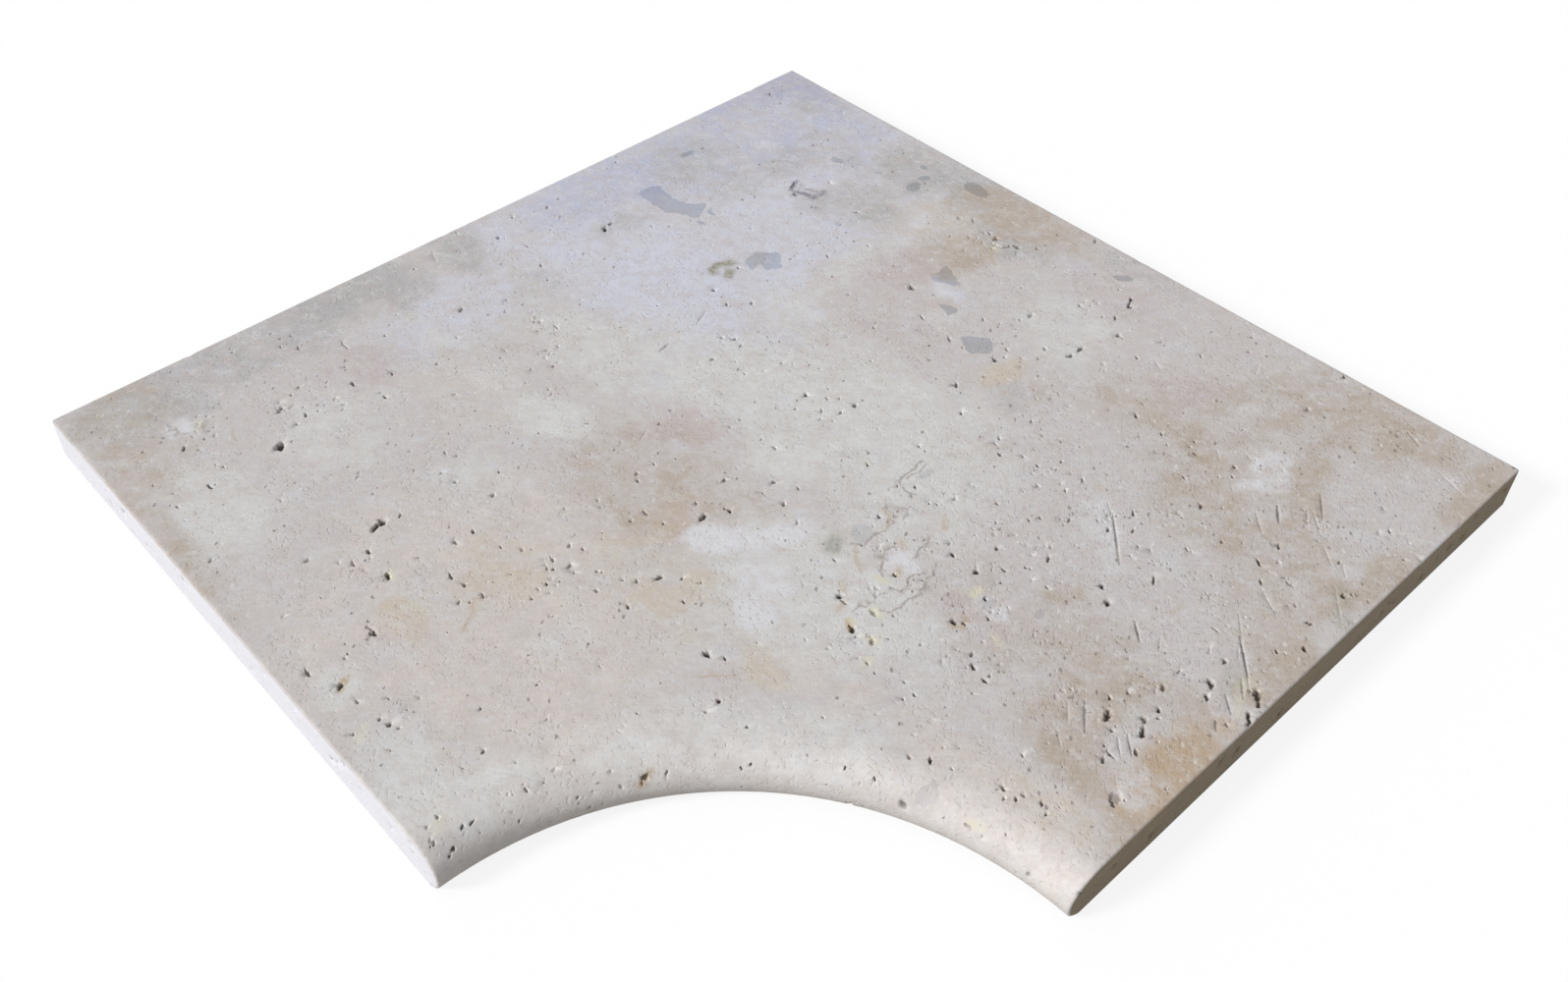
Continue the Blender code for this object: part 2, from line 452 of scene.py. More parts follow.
# Clouds of colour, from the widest tones to those that lie over them: u, v, half length,
# half width, strength, and the turn in degrees, from u towards v, of those that lie aslant
CLOUDS = {
    "sand": (
        (350, 505, 70, 60, 0.7), (560, 388, 60, 22, 0.8), (275, 455, 50, 40, 0.6), (230, 505, 44, 40, 0.5),
        (270, 570, 60, 34, 0.5), (445, 405, 40, 16, 0.5), (150, 410, 40, 26, 0.3),
    ),
    "lavender": (
        (90, 80, 120, 90, 0.4), (60, 230, 90, 90, 0.6), (150, 150, 55, 40, 0.75), (145, 250, 75, 50, 0.95),
        (192, 186, 18, 22, 1.0), (222, 205, 24, 14, 0.5), (75, 375, 35, 55, 0.6), (240, 245, 14, 20, 0.4),
        (215, 310, 18, 14, 0.4), (68, 272, 16, 20, 0.9), (26, 303, 18, 12, 0.9), (310, 37, 12, 16, 0.7),
        (270, 118, 20, 9, 0.7), (118, 104, 14, 22, 0.6),
    ),
    "azure": (
        (97, 28, 30, 20, 0.6), (45, 60, 44, 44, 0.5), (8, 92, 14, 22, 0.7), (30, 218, 30, 54, 0.7),
        (18, 130, 24, 40, 0.5), (50, 155, 34, 34, 0.6), (78, 100, 26, 30, 0.4), (10, 165, 16, 35, 0.5),
        (90, 50, 60, 50, 0.3),
    ),
    "slate": (
        (90, 105, 18, 62, 0.4), (45, 145, 26, 30, 0.6), (165, 30, 30, 26, 0.8), (120, 58, 14, 8, 0.5),
        (168, 90, 26, 28, 0.6), (150, 112, 16, 16, 0.5), (45, 24, 18, 12, 0.8), (215, 18, 34, 20, 0.9),
        (18, 330, 30, 18, 0.7), (90, 315, 14, 14, 0.4), (20, 385, 28, 22, 0.85), (14, 425, 24, 30, 0.9),
        (20, 455, 30, 20, 0.6), (22, 500, 30, 34, 0.6), (20, 570, 34, 40, 0.75), (46, 545, 14, 16, 0.5),
        (350, 10, 40, 12, 0.3), (72, 232, 10, 26, 0.4), (370, 172, 14, 14, 0.45), (264, 48, 30, 18, 0.8),
    ),
    "rose": (
        (345, 45, 45, 24, 0.5), (432, 32, 18, 18, 0.4), (442, 86, 18, 18, 0.8), (270, 168, 50, 24, 0.35),
        (258, 332, 22, 18, 0.9), (85, 447, 22, 24, 0.6), (220, 150, 16, 22, 0.5), (236, 120, 22, 24, 0.9),
        (465, 318, 30, 22, 0.5),
    ),
    "cream": (
        (340, 245, 74, 55, 0.8), (262, 275, 44, 40, 0.75), (318, 308, 24, 20, 0.95),
        (236, 312, 18, 13, 0.8), (215, 150, 14, 48, 0.5), (230, 210, 34, 20, 0.4), (350, 95, 32, 32, 0.6),
        (293, 148, 9, 9, 0.5), (170, 330, 60, 24, 0.6), (198, 386, 26, 17, 1.0, -10),
        (118, 392, 50, 16, 0.35), (125, 490, 34, 38, 0.5), (135, 570, 42, 26, 0.65),
        (158, 570, 14, 14, 0.8), (215, 450, 24, 22, 0.5), (400, 372, 62, 42, 0.75), (440, 355, 30, 26, 0.6),
        (400, 290, 34, 34, 0.5), (490, 362, 14, 14, 0.3), (375, 425, 28, 22, 0.3),
        # The clouds at 386, 575, at 420, 490 and at 470, 440 lie along the bullnose and pale it: partly
        # cleaner stone, partly a painted sheen of light
        (386, 575, 16, 44, 0.6, 10), (354, 588, 26, 20, 0.8), (288, 586, 12, 12, 0.9),
        (470, 440, 44, 20, 0.7, -45), (420, 490, 18, 44, 0.7, 15), (200, 290, 40, 24, 0.4),
        (520, 350, 40, 16, 0.2), (338, 485, 10, 18, 0.5),
    ),
    "tan": (
        (222, 72, 26, 24, 0.4), (352, 158, 9, 16, 0.9), (575, 380, 36, 9, 0.5, -5), (340, 420, 44, 30, 0.6),
        (280, 480, 26, 26, 0.6), (272, 540, 18, 13, 0.8), (424, 420, 14, 9, 0.9),
    ),
    "brown": (
        (262, 20, 44, 26, 0.85), (222, 30, 20, 22, 0.6), (520, 30, 46, 36, 0.7), (552, 28, 10, 26, 0.7),
        (580, 18, 30, 16, 0.6), (532, 92, 40, 11, 0.85, 69), (490, 128, 64, 26, 0.5),
        (475, 75, 28, 30, 0.4), (472, 120, 14, 14, 0.8), (425, 120, 26, 26, 0.4), (508, 165, 32, 24, 0.6),
        (565, 170, 40, 34, 0.5), (594, 165, 12, 16, 0.7, 30), (604, 35, 10, 40, 0.9),
        (604, 128, 9, 22, 0.9), (585, 210, 26, 18, 0.5), (602, 235, 12, 26, 0.9), (575, 285, 26, 14, 0.5),
        (540, 290, 26, 26, 0.55), (492, 268, 12, 12, 0.6), (548, 330, 22, 24, 0.5),
        (500, 310, 54, 28, 0.3, 10), (272, 375, 44, 42, 0.5), (308, 400, 14, 18, 0.5),
        (330, 356, 24, 10, 0.5, -40), (580, 350, 26, 13, 0.8), (605, 362, 8, 12, 0.9),
        (150, 604, 56, 9, 0.5), (75, 588, 34, 26, 0.45), (22, 575, 26, 30, 0.5), (382, 150, 10, 12, 0.4),
        (388, 205, 12, 12, 0.3), (246, 92, 20, 30, 0.3), (256, 78, 16, 20, 0.7),
    ),
    "rust": (
        (600, 318, 15, 38, 1.0), (309, 388, 11, 14, 0.6), (262, 105, 8, 10, 0.4), (606, 335, 8, 16, 0.9),
    ),
    "blue": (
        (8, 24, 18, 22, 0.9), (30, 14, 20, 14, 0.9), (12, 60, 16, 24, 0.5), (60, 12, 22, 10, 0.4),
    ),
}
# Where the stone is scored with strokes and thick with flecks: as the clouds
SCORED = (
    (540, 130, 110, 150, 1.0), (480, 280, 110, 90, 0.9), (560, 330, 60, 60, 0.8),
    (330, 200, 90, 90, 0.4), (280, 520, 110, 80, 0.35), (110, 480, 80, 90, 0.25),
)
# Chalky patches with torn edges: strength, then their outline
CHALKY = (
    (1.0, ((321, 384), (333, 374), (343, 366), (352, 356), (357, 346), (362, 336), (369, 333), (374, 344),
           (371, 358), (364, 368), (353, 377), (348, 387), (336, 394), (326, 394))),
    (1.0, ((383, 394), (391, 390), (403, 395), (406, 406), (397, 412), (386, 408), (381, 400))),
    (0.6, ((364, 372), (380, 366), (398, 372), (392, 384), (376, 392), (364, 386))),
    (0.6, ((501, 92), (508, 88), (516, 91), (522, 100), (526, 110), (526, 120), (520, 130), (513, 138),
           (507, 134), (506, 122), (502, 112), (504, 102))),
    (1.0, ((409, 311), (417, 308), (430, 312), (432, 321), (425, 326), (414, 325))),
    (0.35, ((456, 196), (470, 198), (490, 211), (505, 229), (500, 240), (485, 233), (468, 219), (455, 208))),
    (0.6, ((49, 92), (58, 88), (72, 83), (75, 86), (66, 92), (54, 96))),
    (0.8, ((50, 556), (54, 551), (62, 550), (70, 553), (67, 559), (59, 564), (52, 562))),
    (0.45, ((202, 66), (212, 68), (216, 80), (208, 84), (200, 76))),
    (0.5, ((422, 356), (432, 352), (440, 360), (434, 368), (424, 366))),
    (0.6, ((467, 298), (478, 296), (486, 304), (480, 314), (468, 312), (464, 304))),
    (0.5, ((580, 334), (592, 330), (604, 338), (604, 350), (590, 352), (582, 346))),
    (0.45, ((258, 114), (272, 116), (282, 122), (276, 128), (262, 124))),
)

# Outlines of the smooth grey calcite that filled the stone's old holes, by mask
CALCITE = {
    "calcite": (
        ((50, 187), (54, 182), (68, 184), (76, 184), (84, 181), (88, 178), (92, 172), (94, 171), (98, 178),
         (101, 183), (103, 187), (100, 190), (90, 194), (86, 197), (83, 200), (65, 200), (51, 200)),
        ((99, 173), (105, 175), (109, 176), (107, 179), (101, 178)),
        ((104, 188), (109, 187), (112, 189), (110, 192), (105, 191)),
        ((167, 174), (170, 173), (173, 175), (177, 178), (179, 181), (182, 181), (184, 184), (182, 187),
         (179, 192), (177, 194), (173, 191), (171, 193), (173, 200), (165, 199), (161, 196), (158, 186),
         (160, 183), (166, 178)),
        ((256, 101), (261, 101), (265, 104), (276, 109), (274, 113), (264, 118), (260, 120), (257, 117),
         (259, 112), (257, 107)),
        ((279, 135), (283, 132), (288, 130), (295, 131), (293, 136), (292, 139), (288, 138)),
        ((312, 148), (321, 140), (325, 137), (330, 138), (336, 146), (335, 150), (331, 153), (328, 157),
         (323, 157), (314, 151)),
        ((339, 24), (343, 20), (348, 19), (350, 22), (347, 27), (342, 29), (338, 28)),
        ((200, 14), (205, 12), (210, 12), (220, 16), (221, 21), (215, 24), (203, 24), (199, 19)),
        ((162, 23), (166, 22), (169, 26), (166, 28), (162, 27)),
        ((171, 34), (175, 30), (178, 32), (177, 36), (175, 39), (171, 38)),
        ((174, 43), (178, 41), (181, 47), (182, 52), (178, 55), (173, 53), (172, 48)),
        ((110, 63), (116, 61), (122, 62), (120, 66), (116, 69), (112, 67)),
        ((33, 135), (37, 133), (39, 140), (38, 146), (34, 146)),
    ),
    "pale_calcite": (
        ((381, 251), (384, 251), (385, 257), (383, 265), (380, 263), (380, 256)),
        ((383, 316), (386, 312), (392, 311), (397, 314), (397, 322), (392, 325), (386, 322)),
        ((380, 331), (385, 330), (391, 333), (393, 337), (389, 341), (384, 340)),
        ((526, 406), (529, 407), (533, 410), (534, 415), (532, 420), (527, 421), (524, 416)),
        ((145, 53), (148, 51), (151, 54), (148, 57), (144, 56)),
        ((466, 302), (470, 299), (474, 303), (473, 308), (468, 308)),
        ((491, 288), (495, 286), (498, 290), (496, 294), (492, 293)),
    ),
}

# Marks: the points of each, then its half width and strength
OLIVE_MARKS = (
    (((157, 205), (155, 208), (152, 213)), 2.5, 0.9), (((152, 213), (153, 219), (157, 221)), 2.5, 0.95),
    (((164, 213), (166, 216)), 2.8, 0.9), (((592, 158), (600, 170), (604, 178)), 4.0, 0.35),
    (((583, 243), (587, 251), (589, 259)), 4.0, 0.3), (((64, 543), (67, 546)), 1.4, 0.7),
    (((384, 332), (388, 337)), 3.8, 0.5),
)
INK_MARKS = (
    (((116, 106), (118, 111), (121, 116)), 1.5, 0.8), (((120, 105), (125, 113)), 0.8, 0.4),
    (((127, 118), (125, 115), (131, 112), (139, 111)), 1.8, 0.95),
    (((138, 101), (139, 106), (139, 111)), 2.0, 0.75), (((127, 108), (131, 105), (137, 103)), 1.3, 0.5),
)
STRAW_MARKS = (
    (((455, 378), (456, 380)), 2.0, 0.9), (((461, 301), (462, 305)), 2.2, 1.0),
    (((433, 353), (438, 352)), 2.0, 0.9), (((419, 335), (423, 334)), 2.0, 0.9),
    (((446, 368), (449, 366)), 2.2, 0.8), (((552, 410), (558, 408)), 1.6, 0.9),
    (((239, 526), (243, 528)), 1.8, 0.9), (((487, 319), (493, 321)), 2.0, 0.6),
    (((430, 366), (433, 366)), 1.8, 0.9), (((595, 245), (593, 252)), 3.0, 0.5),
    (((596, 258), (603, 268)), 2.0, 0.5), (((262, 59), (268, 62)), 2.2, 0.6),
    (((318, 592), (322, 598)), 2.4, 0.5), (((386, 594), (390, 598)), 2.4, 0.5),
    (((62, 546), (66, 549)), 1.8, 0.6),
)
OCHRE_MARKS = (
    (((417, 434), (412, 441), (405, 449)), 0.6, 0.5), (((423, 322), (425, 325)), 1.6, 0.6),
    (((80, 533), (84, 536), (91, 537)), 0.6, 0.5), (((285, 504), (293, 511), (300, 521)), 0.7, 0.5),
    (((396, 328), (401, 333), (410, 338)), 1.1, 0.5), (((409, 306), (413, 308)), 2.4, 0.4),
    (((419, 360), (421, 366)), 1.2, 0.5), (((430, 367), (434, 370)), 1.8, 1.0),
    (((446, 367), (449, 370)), 1.2, 0.5), (((470, 321), (473, 326), (469, 330)), 1.3, 0.6),
    (((409, 352), (413, 354)), 1.5, 0.5), (((431, 503), (432, 510)), 1.6, 0.8),
    (((286, 583), (290, 588)), 1.6, 0.8), (((385, 296), (391, 296), (397, 304)), 0.9, 0.6),
    (((415, 276), (418, 280)), 1.8, 0.5), (((257, 49), (257, 55)), 1.8, 0.4),
    (((262, 60), (266, 68), (274, 75)), 1.2, 0.4), (((540, 231), (540, 237)), 1.7, 0.3),
)
MARKS = {"straw": STRAW_MARKS, "olive": OLIVE_MARKS, "ink": INK_MARKS, "ochre": OCHRE_MARKS}

# The curly lines of the old shell and reed traces: lists of points
VEINS = (
    ((398, 306), (396, 312), (397, 318), (396, 323), (392, 326)),
    ((411, 311), (408, 317), (411, 322), (416, 328), (421, 333)),
    ((418, 292), (420, 298), (420, 304), (423, 308)),
    ((435, 313), (431, 318), (430, 323), (435, 328), (433, 333), (428, 334)),
    ((429, 340), (427, 344), (430, 348), (430, 353), (426, 357), (427, 361)),
    ((434, 305), (438, 311), (439, 317), (442, 329), (440, 333), (442, 340), (440, 347), (436, 350)),
    ((385, 294), (391, 294), (396, 299), (396, 303)), ((391, 287), (394, 285), (398, 288), (399, 293)),
    ((373, 249), (374, 255), (375, 262), (374, 269), (378, 274), (384, 275), (390, 273)),
    ((377, 252), (378, 260), (377, 268)), ((51, 560), (55, 562), (58, 559), (62, 558), (65, 555)),
    ((256, 103), (258, 110), (256, 116)),
)

# How many small pits are scattered, and where they lie more thickly: u, v, reach, share
SMALL_PITS = 380
THICK_WITH_PITS = (
    (480, 260, 130, 0.7), (300, 450, 60, 0.5), (560, 330, 80, 0.6), (440, 180, 80, 0.7),
    (290, 250, 60, 0.5), (420, 560, 60, 0.8), (150, 360, 70, 0.4), (540, 160, 80, 0.5),
    (320, 140, 60, 0.4), (300, 580, 80, 0.4), (110, 560, 70, 0.35), (260, 170, 50, 0.4),
)
# Knots of shallow dents, most of them along the scoring: u, v, how many
DENTED = (
    (549, 214, 12), (515, 214, 6), (566, 250, 4), (532, 205, 6), (556, 125, 9), (590, 99, 6),
    (460, 250, 8), (452, 288, 9), (478, 300, 8), (440, 262, 7), (492, 180, 7), (470, 205, 6),
    (430, 205, 6), (505, 305, 8), (532, 318, 7), (560, 285, 8), (480, 345, 7), (410, 250, 6),
    (262, 70, 9), (278, 62, 8), (246, 60, 6), (330, 110, 6), (352, 64, 6), (395, 108, 6),
    (150, 350, 8), (132, 340, 8), (100, 480, 9), (84, 506, 6), (66, 545, 6), (290, 456, 7),
    (222, 538, 6), (305, 470, 6), (400, 318, 5), (446, 372, 8), (424, 345, 6), (500, 390, 6),
)


def small_pit(dice, u, v, longest, turn, deepest):
    """A small pit at u, v, with a size, turn and depth of its own."""
    length = SHORTEST + (longest - SHORTEST) * dice.random() ** 2
    width = length * dice.uniform(*ROUNDNESS)
    return u, v, length, width, dice.gauss(turn, TURN_SPREAD), dice.uniform(SHALLOWEST, deepest)


def scattered_pits():
    """Small pits and dents between the ones of the tables."""
    dice = random.Random(SCATTERED_SEED)
    pits = []
    while len(pits) < SMALL_PITS:
        u = dice.uniform(PIT_MARGIN, SIDE - PIT_MARGIN)
        v = dice.uniform(PIT_MARGIN, SIDE - PIT_MARGIN)
        if math.hypot(SIDE - u, SIDE - v) < ROLL_START - PITTED_NOSE * NOSE_RUN[-1]:
            continue
        share = LEAST_PITTED
        for near_u, near_v, reach, most in THICK_WITH_PITS:
            share = max(share, most * math.exp(-((u - near_u) ** 2 + (v - near_v) ** 2) / reach ** 2))
        if dice.random() < share:
            pits.append(small_pit(dice, u, v, *SCATTERED_PIT))
    for middle_u, middle_v, count in DENTED:
        for _ in range(count):
            u = dice.gauss(middle_u, KNOT_SPREAD)
            v = dice.gauss(middle_v, KNOT_SPREAD)
            pits.append(small_pit(dice, u, v, *DENT))
    return pits


def placed_pits():
    """The pits of the tables, the plain ones with sizes and turns of their own."""
    dice = random.Random(PLACED_SEED)
    pits = [(*pit, deep) for deep, rows in PITS.items() for pit in rows]
    for deep, spots in PLAIN_PITS.items():
        for u, v in spots:
            length = dice.uniform(*PLAIN_LENGTHS)
            width = length * dice.uniform(*PLAIN_ROUNDNESS)
            pits.append((u, v, length, width, dice.gauss(*PLAIN_TURN), deep))
    return pits


ALL_PITS = np.array(placed_pits() + scattered_pits(), float)


def smooth(amount):
    """Ease from 0 to 1."""
    amount = np.clip(amount, 0, 1)
    return amount * amount * (3 - 2 * amount)


def wobble(places, size, cut):
    """Two smooth random numbers, about -1 to 1, at each place, from one slice of the noise."""
    spots = (Vector((u / size, v / size, cut)) for u, v in places)
    return np.array([noise.noise_vector(spot)[:2] for spot in spots])


def swayed(places, waves):
    """How far waves of several sizes shift each place."""
    return sum(reach * wobble(places, size, cut) for reach, size, cut in waves)


def along_and_across(places, u, v, turn):
    """Offsets from u, v of places on the layout, along and across a direction."""
    angle = math.radians(turn)
    du = places[:, 0] - u
    dv = places[:, 1] - v
    along = du * math.cos(angle) + dv * math.sin(angle)
    across = dv * math.cos(angle) - du * math.sin(angle)
    return along, across


def near(places, u, v, reach):
    """The indices of the places within a square round u, v."""
    close = (np.abs(places[:, 0] - u) < reach) & (np.abs(places[:, 1] - v) < reach)
    return np.nonzero(close)[0]


def to_segment(places, start, end):
    """Distance from a straight stretch, and how far along it, 0 to 1."""
    start = np.array(start, float)
    step = np.array(end, float) - start
    share = np.clip((places - start) @ step / (step @ step), 0, 1)
    gap = places - start - share[:, None] * step
    return np.hypot(gap[:, 0], gap[:, 1]), share


def to_line(places, points):
    """Distance from a line through several points."""
    return np.min([to_segment(places, *ends)[0] for ends in zip(points, points[1:])], axis=0)


def to_nose_end(places):
    """Distance, along the layout, from the lower line of the bullnose."""
    return np.hypot(SIDE - places[:, 0], SIDE - places[:, 1]) - ROLL_END


def arris_distance(places):
    """Distance inside the square outline of the tread, whose corners are rubbed round."""
    over = np.abs(places - SIDE / 2) - (SIDE / 2 - EASING)
    most = over.max(1)
    beyond = np.hypot(*np.maximum(over, 0).T)
    return EASING - np.where(most > 0, beyond, most)


def eased(places):
    """How far the rubbed arris lies below the smooth stone."""
    gap = np.clip(EASING - arris_distance(places), 0, EASING)
    drop = EASING - np.sqrt(EASING ** 2 - gap ** 2)
    return drop * smooth(to_nose_end(places) / EASING_FADE)


def dug_pits(places, ragged, pits):
    """Depth of the open pits, their floors darkened by dirt and painted shade, and pale crystals with a
    painted highlight round their sunlit right sides.
    """
    depth, dirt_and_shade, crystals_and_highlight = np.zeros((3, len(places)))
    for u, v, length, width, turn, deep in pits:
        close = near(places, u, v, length)
        along, across = along_and_across(places[close], u, v, turn)
        rim = np.hypot(along / (length / 2) + PIT_RAGGED * ragged[close, 0],
                       across / (width / 2) + PIT_RAGGED * ragged[close, 1])
        right = (places[close] - (u, v)) @ (1, -1) / length
        within = np.clip((1 - rim) / (PIT_WALL * (1 + PIT_LEAN * np.clip(right, -1, 1))), 0, 1)
        depth[close] = np.maximum(depth[close], deep * within * (2 - within))
        # The floor's darkening: partly dirt, partly painted shade
        darkening = smooth((within - DARKENING_START) / DARKENING_FADE) * min(1, deep / DARKEST_DEPTH) ** DARKENING_POWER
        dirt_and_shade[close] = np.maximum(dirt_and_shade[close], darkening)
        # Pale crystals only on the rim's right, sunlit side: partly a painted highlight
        lit_rim = smooth(1 - np.abs(rim - LIT_RIM_MIDDLE) / LIT_RIM_REACH)
        lit_rim = lit_rim * np.clip(LIT_RIM_START * right, 0, 1)
        crystals_and_highlight[close] = np.maximum(crystals_and_highlight[close], lit_rim * ((u + v + turn) % 1.0))
    return depth, dirt_and_shade, crystals_and_highlight


def dug_grooves(places, ragged):
    """Depth of the gouges and scratches."""
    depth = np.zeros(len(places))
    for u, v, end_u, end_v, width, deep in GROOVES:
        gap, share = to_segment(places, (u, v), (end_u, end_v))
        bow = np.sin(math.pi * np.clip(share, GROOVE_BLUNT, 1 - GROOVE_BLUNT))
        half = width / 2 * (GROOVE_TIP + (1 - GROOVE_TIP) * bow)
        within = np.clip(1 - gap / half * (1 + GROOVE_RAGGED * ragged[:, 0]), 0, 1)
        depth = np.maximum(depth, deep * smooth(within * GROOVE_FLOOR))
    return depth


def chip_turn(u):
    """The turn of a chip's length: along v on the arris at u = 0, and along u on the other three."""
    return 90 if u == 0 else 0


def dug_chips(places, ragged):
    """Depth of the chips at the arrises."""
    depth = np.zeros(len(places))
    for u, v, length, reach in CHIPS:
        along, across = along_and_across(places, u, v, chip_turn(u))
        rim = np.hypot(along / (length / 2) + CHIP_RAGGED * ragged[:, 0], across / reach)
        depth = np.maximum(depth, CHIP_DEPTH * reach * np.clip(1 - rim, 0, 1))
    return depth


def points_over(u, v, length, width, turn, step):
    """Close points over an ellipse, and a little past its rim."""
    along = np.arange(-length / 2, length / 2 + step / 2, step)
    rows = []
    for row, gap in enumerate(np.arange(-width / 2, width / 2 + step / 2, step * HONEYCOMB)):
        rows.append(np.stack([along + step / 2 * (row % 2), np.full(len(along), gap)], -1))
    spots = np.concatenate(rows)
    spots = spots[np.hypot(spots[:, 0] / length, spots[:, 1] / width) < PAST_RIM]
    along, across = along_and_across(spots, 0, 0, -turn)
    return np.stack([u + along, v + across], -1)


def points_along(start, end, half_width, step):
    """Close points along a straight stretch."""
    start = np.array(start, float)
    run = np.array(end, float) - start
    length = np.hypot(*run)
    run = run / length
    side = np.array([-run[1], run[0]])
    share = np.arange(-step, length + step, step)
    lines = []
    for row, gap in enumerate(LINE_ROWS):
        along = share[:, None] + step / 2 * (row % 2)
        lines.append(start + along * run + gap * half_width * side)
    return np.concatenate(lines)


def honeycomb(low_u, high_u, low_v, high_v, spacing, seed):
    """Evenly spread, slightly shaken points over a rectangle."""
    dice = np.random.default_rng(seed)
    rows = []
    for row, v in enumerate(np.arange(low_v, high_v, spacing * HONEYCOMB)):
        u = np.arange(low_u + spacing / 2 * (row % 2), high_u, spacing)
        rows.append(np.stack([u, np.full(len(u), v)], -1))
    points = np.concatenate(rows)
    return points + dice.uniform(-SHAKE, SHAKE, points.shape) * spacing


def fine_points():
    """Layers of close points, over each pit, gouge, chip, mark, vein and calcite patch."""
    layers = []
    for u, v, length, width, turn, _ in ALL_PITS:
        step = min(max(width / PIT_STEPS, FINEST), COARSEST)
        size = [extent * PIT_SURROUND + 2 * step for extent in (length, width)]
        layers.append(points_over(u, v, *size, turn, step))
    for u, v, end_u, end_v, width, _ in GROOVES:
        layers.append(points_along((u, v), (end_u, end_v), width / 2, GROOVE_SPACING))
    for u, v, length, reach in CHIPS:
        size = (length * CHIP_SURROUND[0], reach * CHIP_SURROUND[1])
        layers.append(points_over(u, v, *size, chip_turn(u), CHIP_SPACING))
    lines = [(points, VEIN_SURROUND, None) for points in VEINS]
    lines += sum(MARKS.values(), ())
    for points, half_width, _ in lines:
        for start, end in zip(points, points[1:]):
            layers.append(points_along(start, end, half_width, MARK_SPACING))
    for points in sum(CALCITE.values(), ()):
        for start, end in zip(points, points[1:] + points[:1]):
            layers.append(points_along(start, end, CALCITE_SURROUND, CALCITE_SPACING))
    return layers


def thinned(layers, gaps):
    """Join layers of points, leaving out each point that lies too near an earlier one."""
    cell = max(gaps)
    taken = {}
    kept = []
    for layer, gap in zip(layers, gaps):
        for u, v in layer.tolist():
            home_u = math.floor(u / cell)
            home_v = math.floor(v / cell)
            others = []
            for cell_u in range(home_u - 1, home_u + 2):
                for cell_v in range(home_v - 1, home_v + 2):
                    others += taken.get((cell_u, cell_v), ())
            if all((u - x) ** 2 + (v - y) ** 2 >= gap * gap for x, y in others):
                taken.setdefault((home_u, home_v), []).append((u, v))
                kept.append((u, v))
    return np.array(kept)


def layout_points():
    """Points of the tread and the bullnose: close over every feature, wide apart between them."""
    tread = honeycomb(0, SIDE, 0, SIDE, TREAD_SPACING, TREAD_SEED)
    tread = tread[to_nose_end(tread) > NOSE_RUN[-1] + NOSE_OVERLAP]
    low = SIDE - ROLL_START
    nose = honeycomb(low, SIDE, low, SIDE, NOSE_SPACING, NOSE_SEED)
    nose = nose[to_nose_end(nose) <= NOSE_RUN[-1] + NOSE_OVERLAP]
    fine = fine_points()
    layers = fine + [np.concatenate([nose, tread])]
    kept = thinned(layers, [FINE_GAP] * len(fine) + [WIDE_GAP])
    clear_of_rows = arris_distance(kept) > EASED_ROWS[-1] + PAST_ROWS
    return kept[clear_of_rows & (to_nose_end(kept) > PAST_NOSE_END)]


def stretch(start, end, spacing):
    """Evenly spaced points from start up to, but not at, end."""
    start = np.array(start, float)
    end = np.array(end, float)
    count = max(1, round(np.linalg.norm(end - start) / spacing))
    share = np.arange(count)[:, None] / count
    return start + (end - start) * share


def turned(centre_u, centre_v, radius, first, last, steps):
    """Points of an arc of the layout, from the first angle up to, but not at, the last."""
    turn = np.radians(first + (last - first) * np.arange(steps) / steps)
    return np.stack([centre_u + radius * np.cos(turn), centre_v + radius * np.sin(turn)], -1)


def layout_outline():
    """The parts of the layout's outline, in order, each without the next one's first point."""
    low = EASING
    high = SIDE - EASING
    nose_start = SIDE - ROLL_START
    nose_end = SIDE - ROLL_END
    right_arm = [stretch((SIDE, low), (SIDE, nose_start), EDGE_SPACING),
                 stretch((SIDE, nose_start), (SIDE, nose_end), NOSE_END_SPACING)]
    left_arm = [stretch((nose_end, SIDE), (nose_start, SIDE), NOSE_END_SPACING),
                stretch((nose_start, SIDE), (low, SIDE), EDGE_SPACING)]
    return {
        "back_y": stretch((low, 0), (high, 0), EDGE_SPACING),
        "right_corner": turned(high, low, EASING, -90, 0, CORNER_STEPS),
        "joint_x": np.concatenate(right_arm),
        "nose": turned(SIDE, SIDE, ROLL_END, -90, -180, NOSE_STEPS),
        "joint_y": np.concatenate(left_arm),
        "left_corner": turned(low, high, EASING, 90, 180, CORNER_STEPS),
        "back_x": stretch((0, high), (0, low), EDGE_SPACING),
        "back_corner": turned(low, low, EASING, 180, 270, CORNER_STEPS),
    }


def eased_rows(outline):
    """Rows of points close inside the straight arrises, so that their rubbing has a shape."""
    inward = np.clip(outline, EASING, SIDE - EASING) - outline
    inward = inward / np.maximum(np.hypot(*inward.T), EASING / 2)[:, None]
    rows = np.concatenate([outline + gap * inward for gap in EASED_ROWS])
    keep = (arris_distance(rows) > ROW_GAP) & (to_nose_end(rows) > ROWS_PAST_NOSE_END)
    return thinned([rows[keep]], [ROW_GAP])


def inside(spots, loop, margin):
    """Which spots lie inside a loop and at least a margin away from it."""
    following = np.roll(loop, -1, axis=0)
    across = spots[:, 0, None]
    up = spots[:, 1, None]
    rise = following[:, 1] - loop[:, 1]
    crosses = (loop[:, 1] > up) != (following[:, 1] > up)
    slope = (following[:, 0] - loop[:, 0]) / np.where(rise == 0, 1, rise)
    hits = crosses & (across < loop[:, 0] + (up - loop[:, 1]) * slope)
    gap = np.min([to_segment(spots, *ends)[0] for ends in zip(loop, following)], axis=0)
    return (hits.sum(1) % 2 == 1) & (gap > margin)


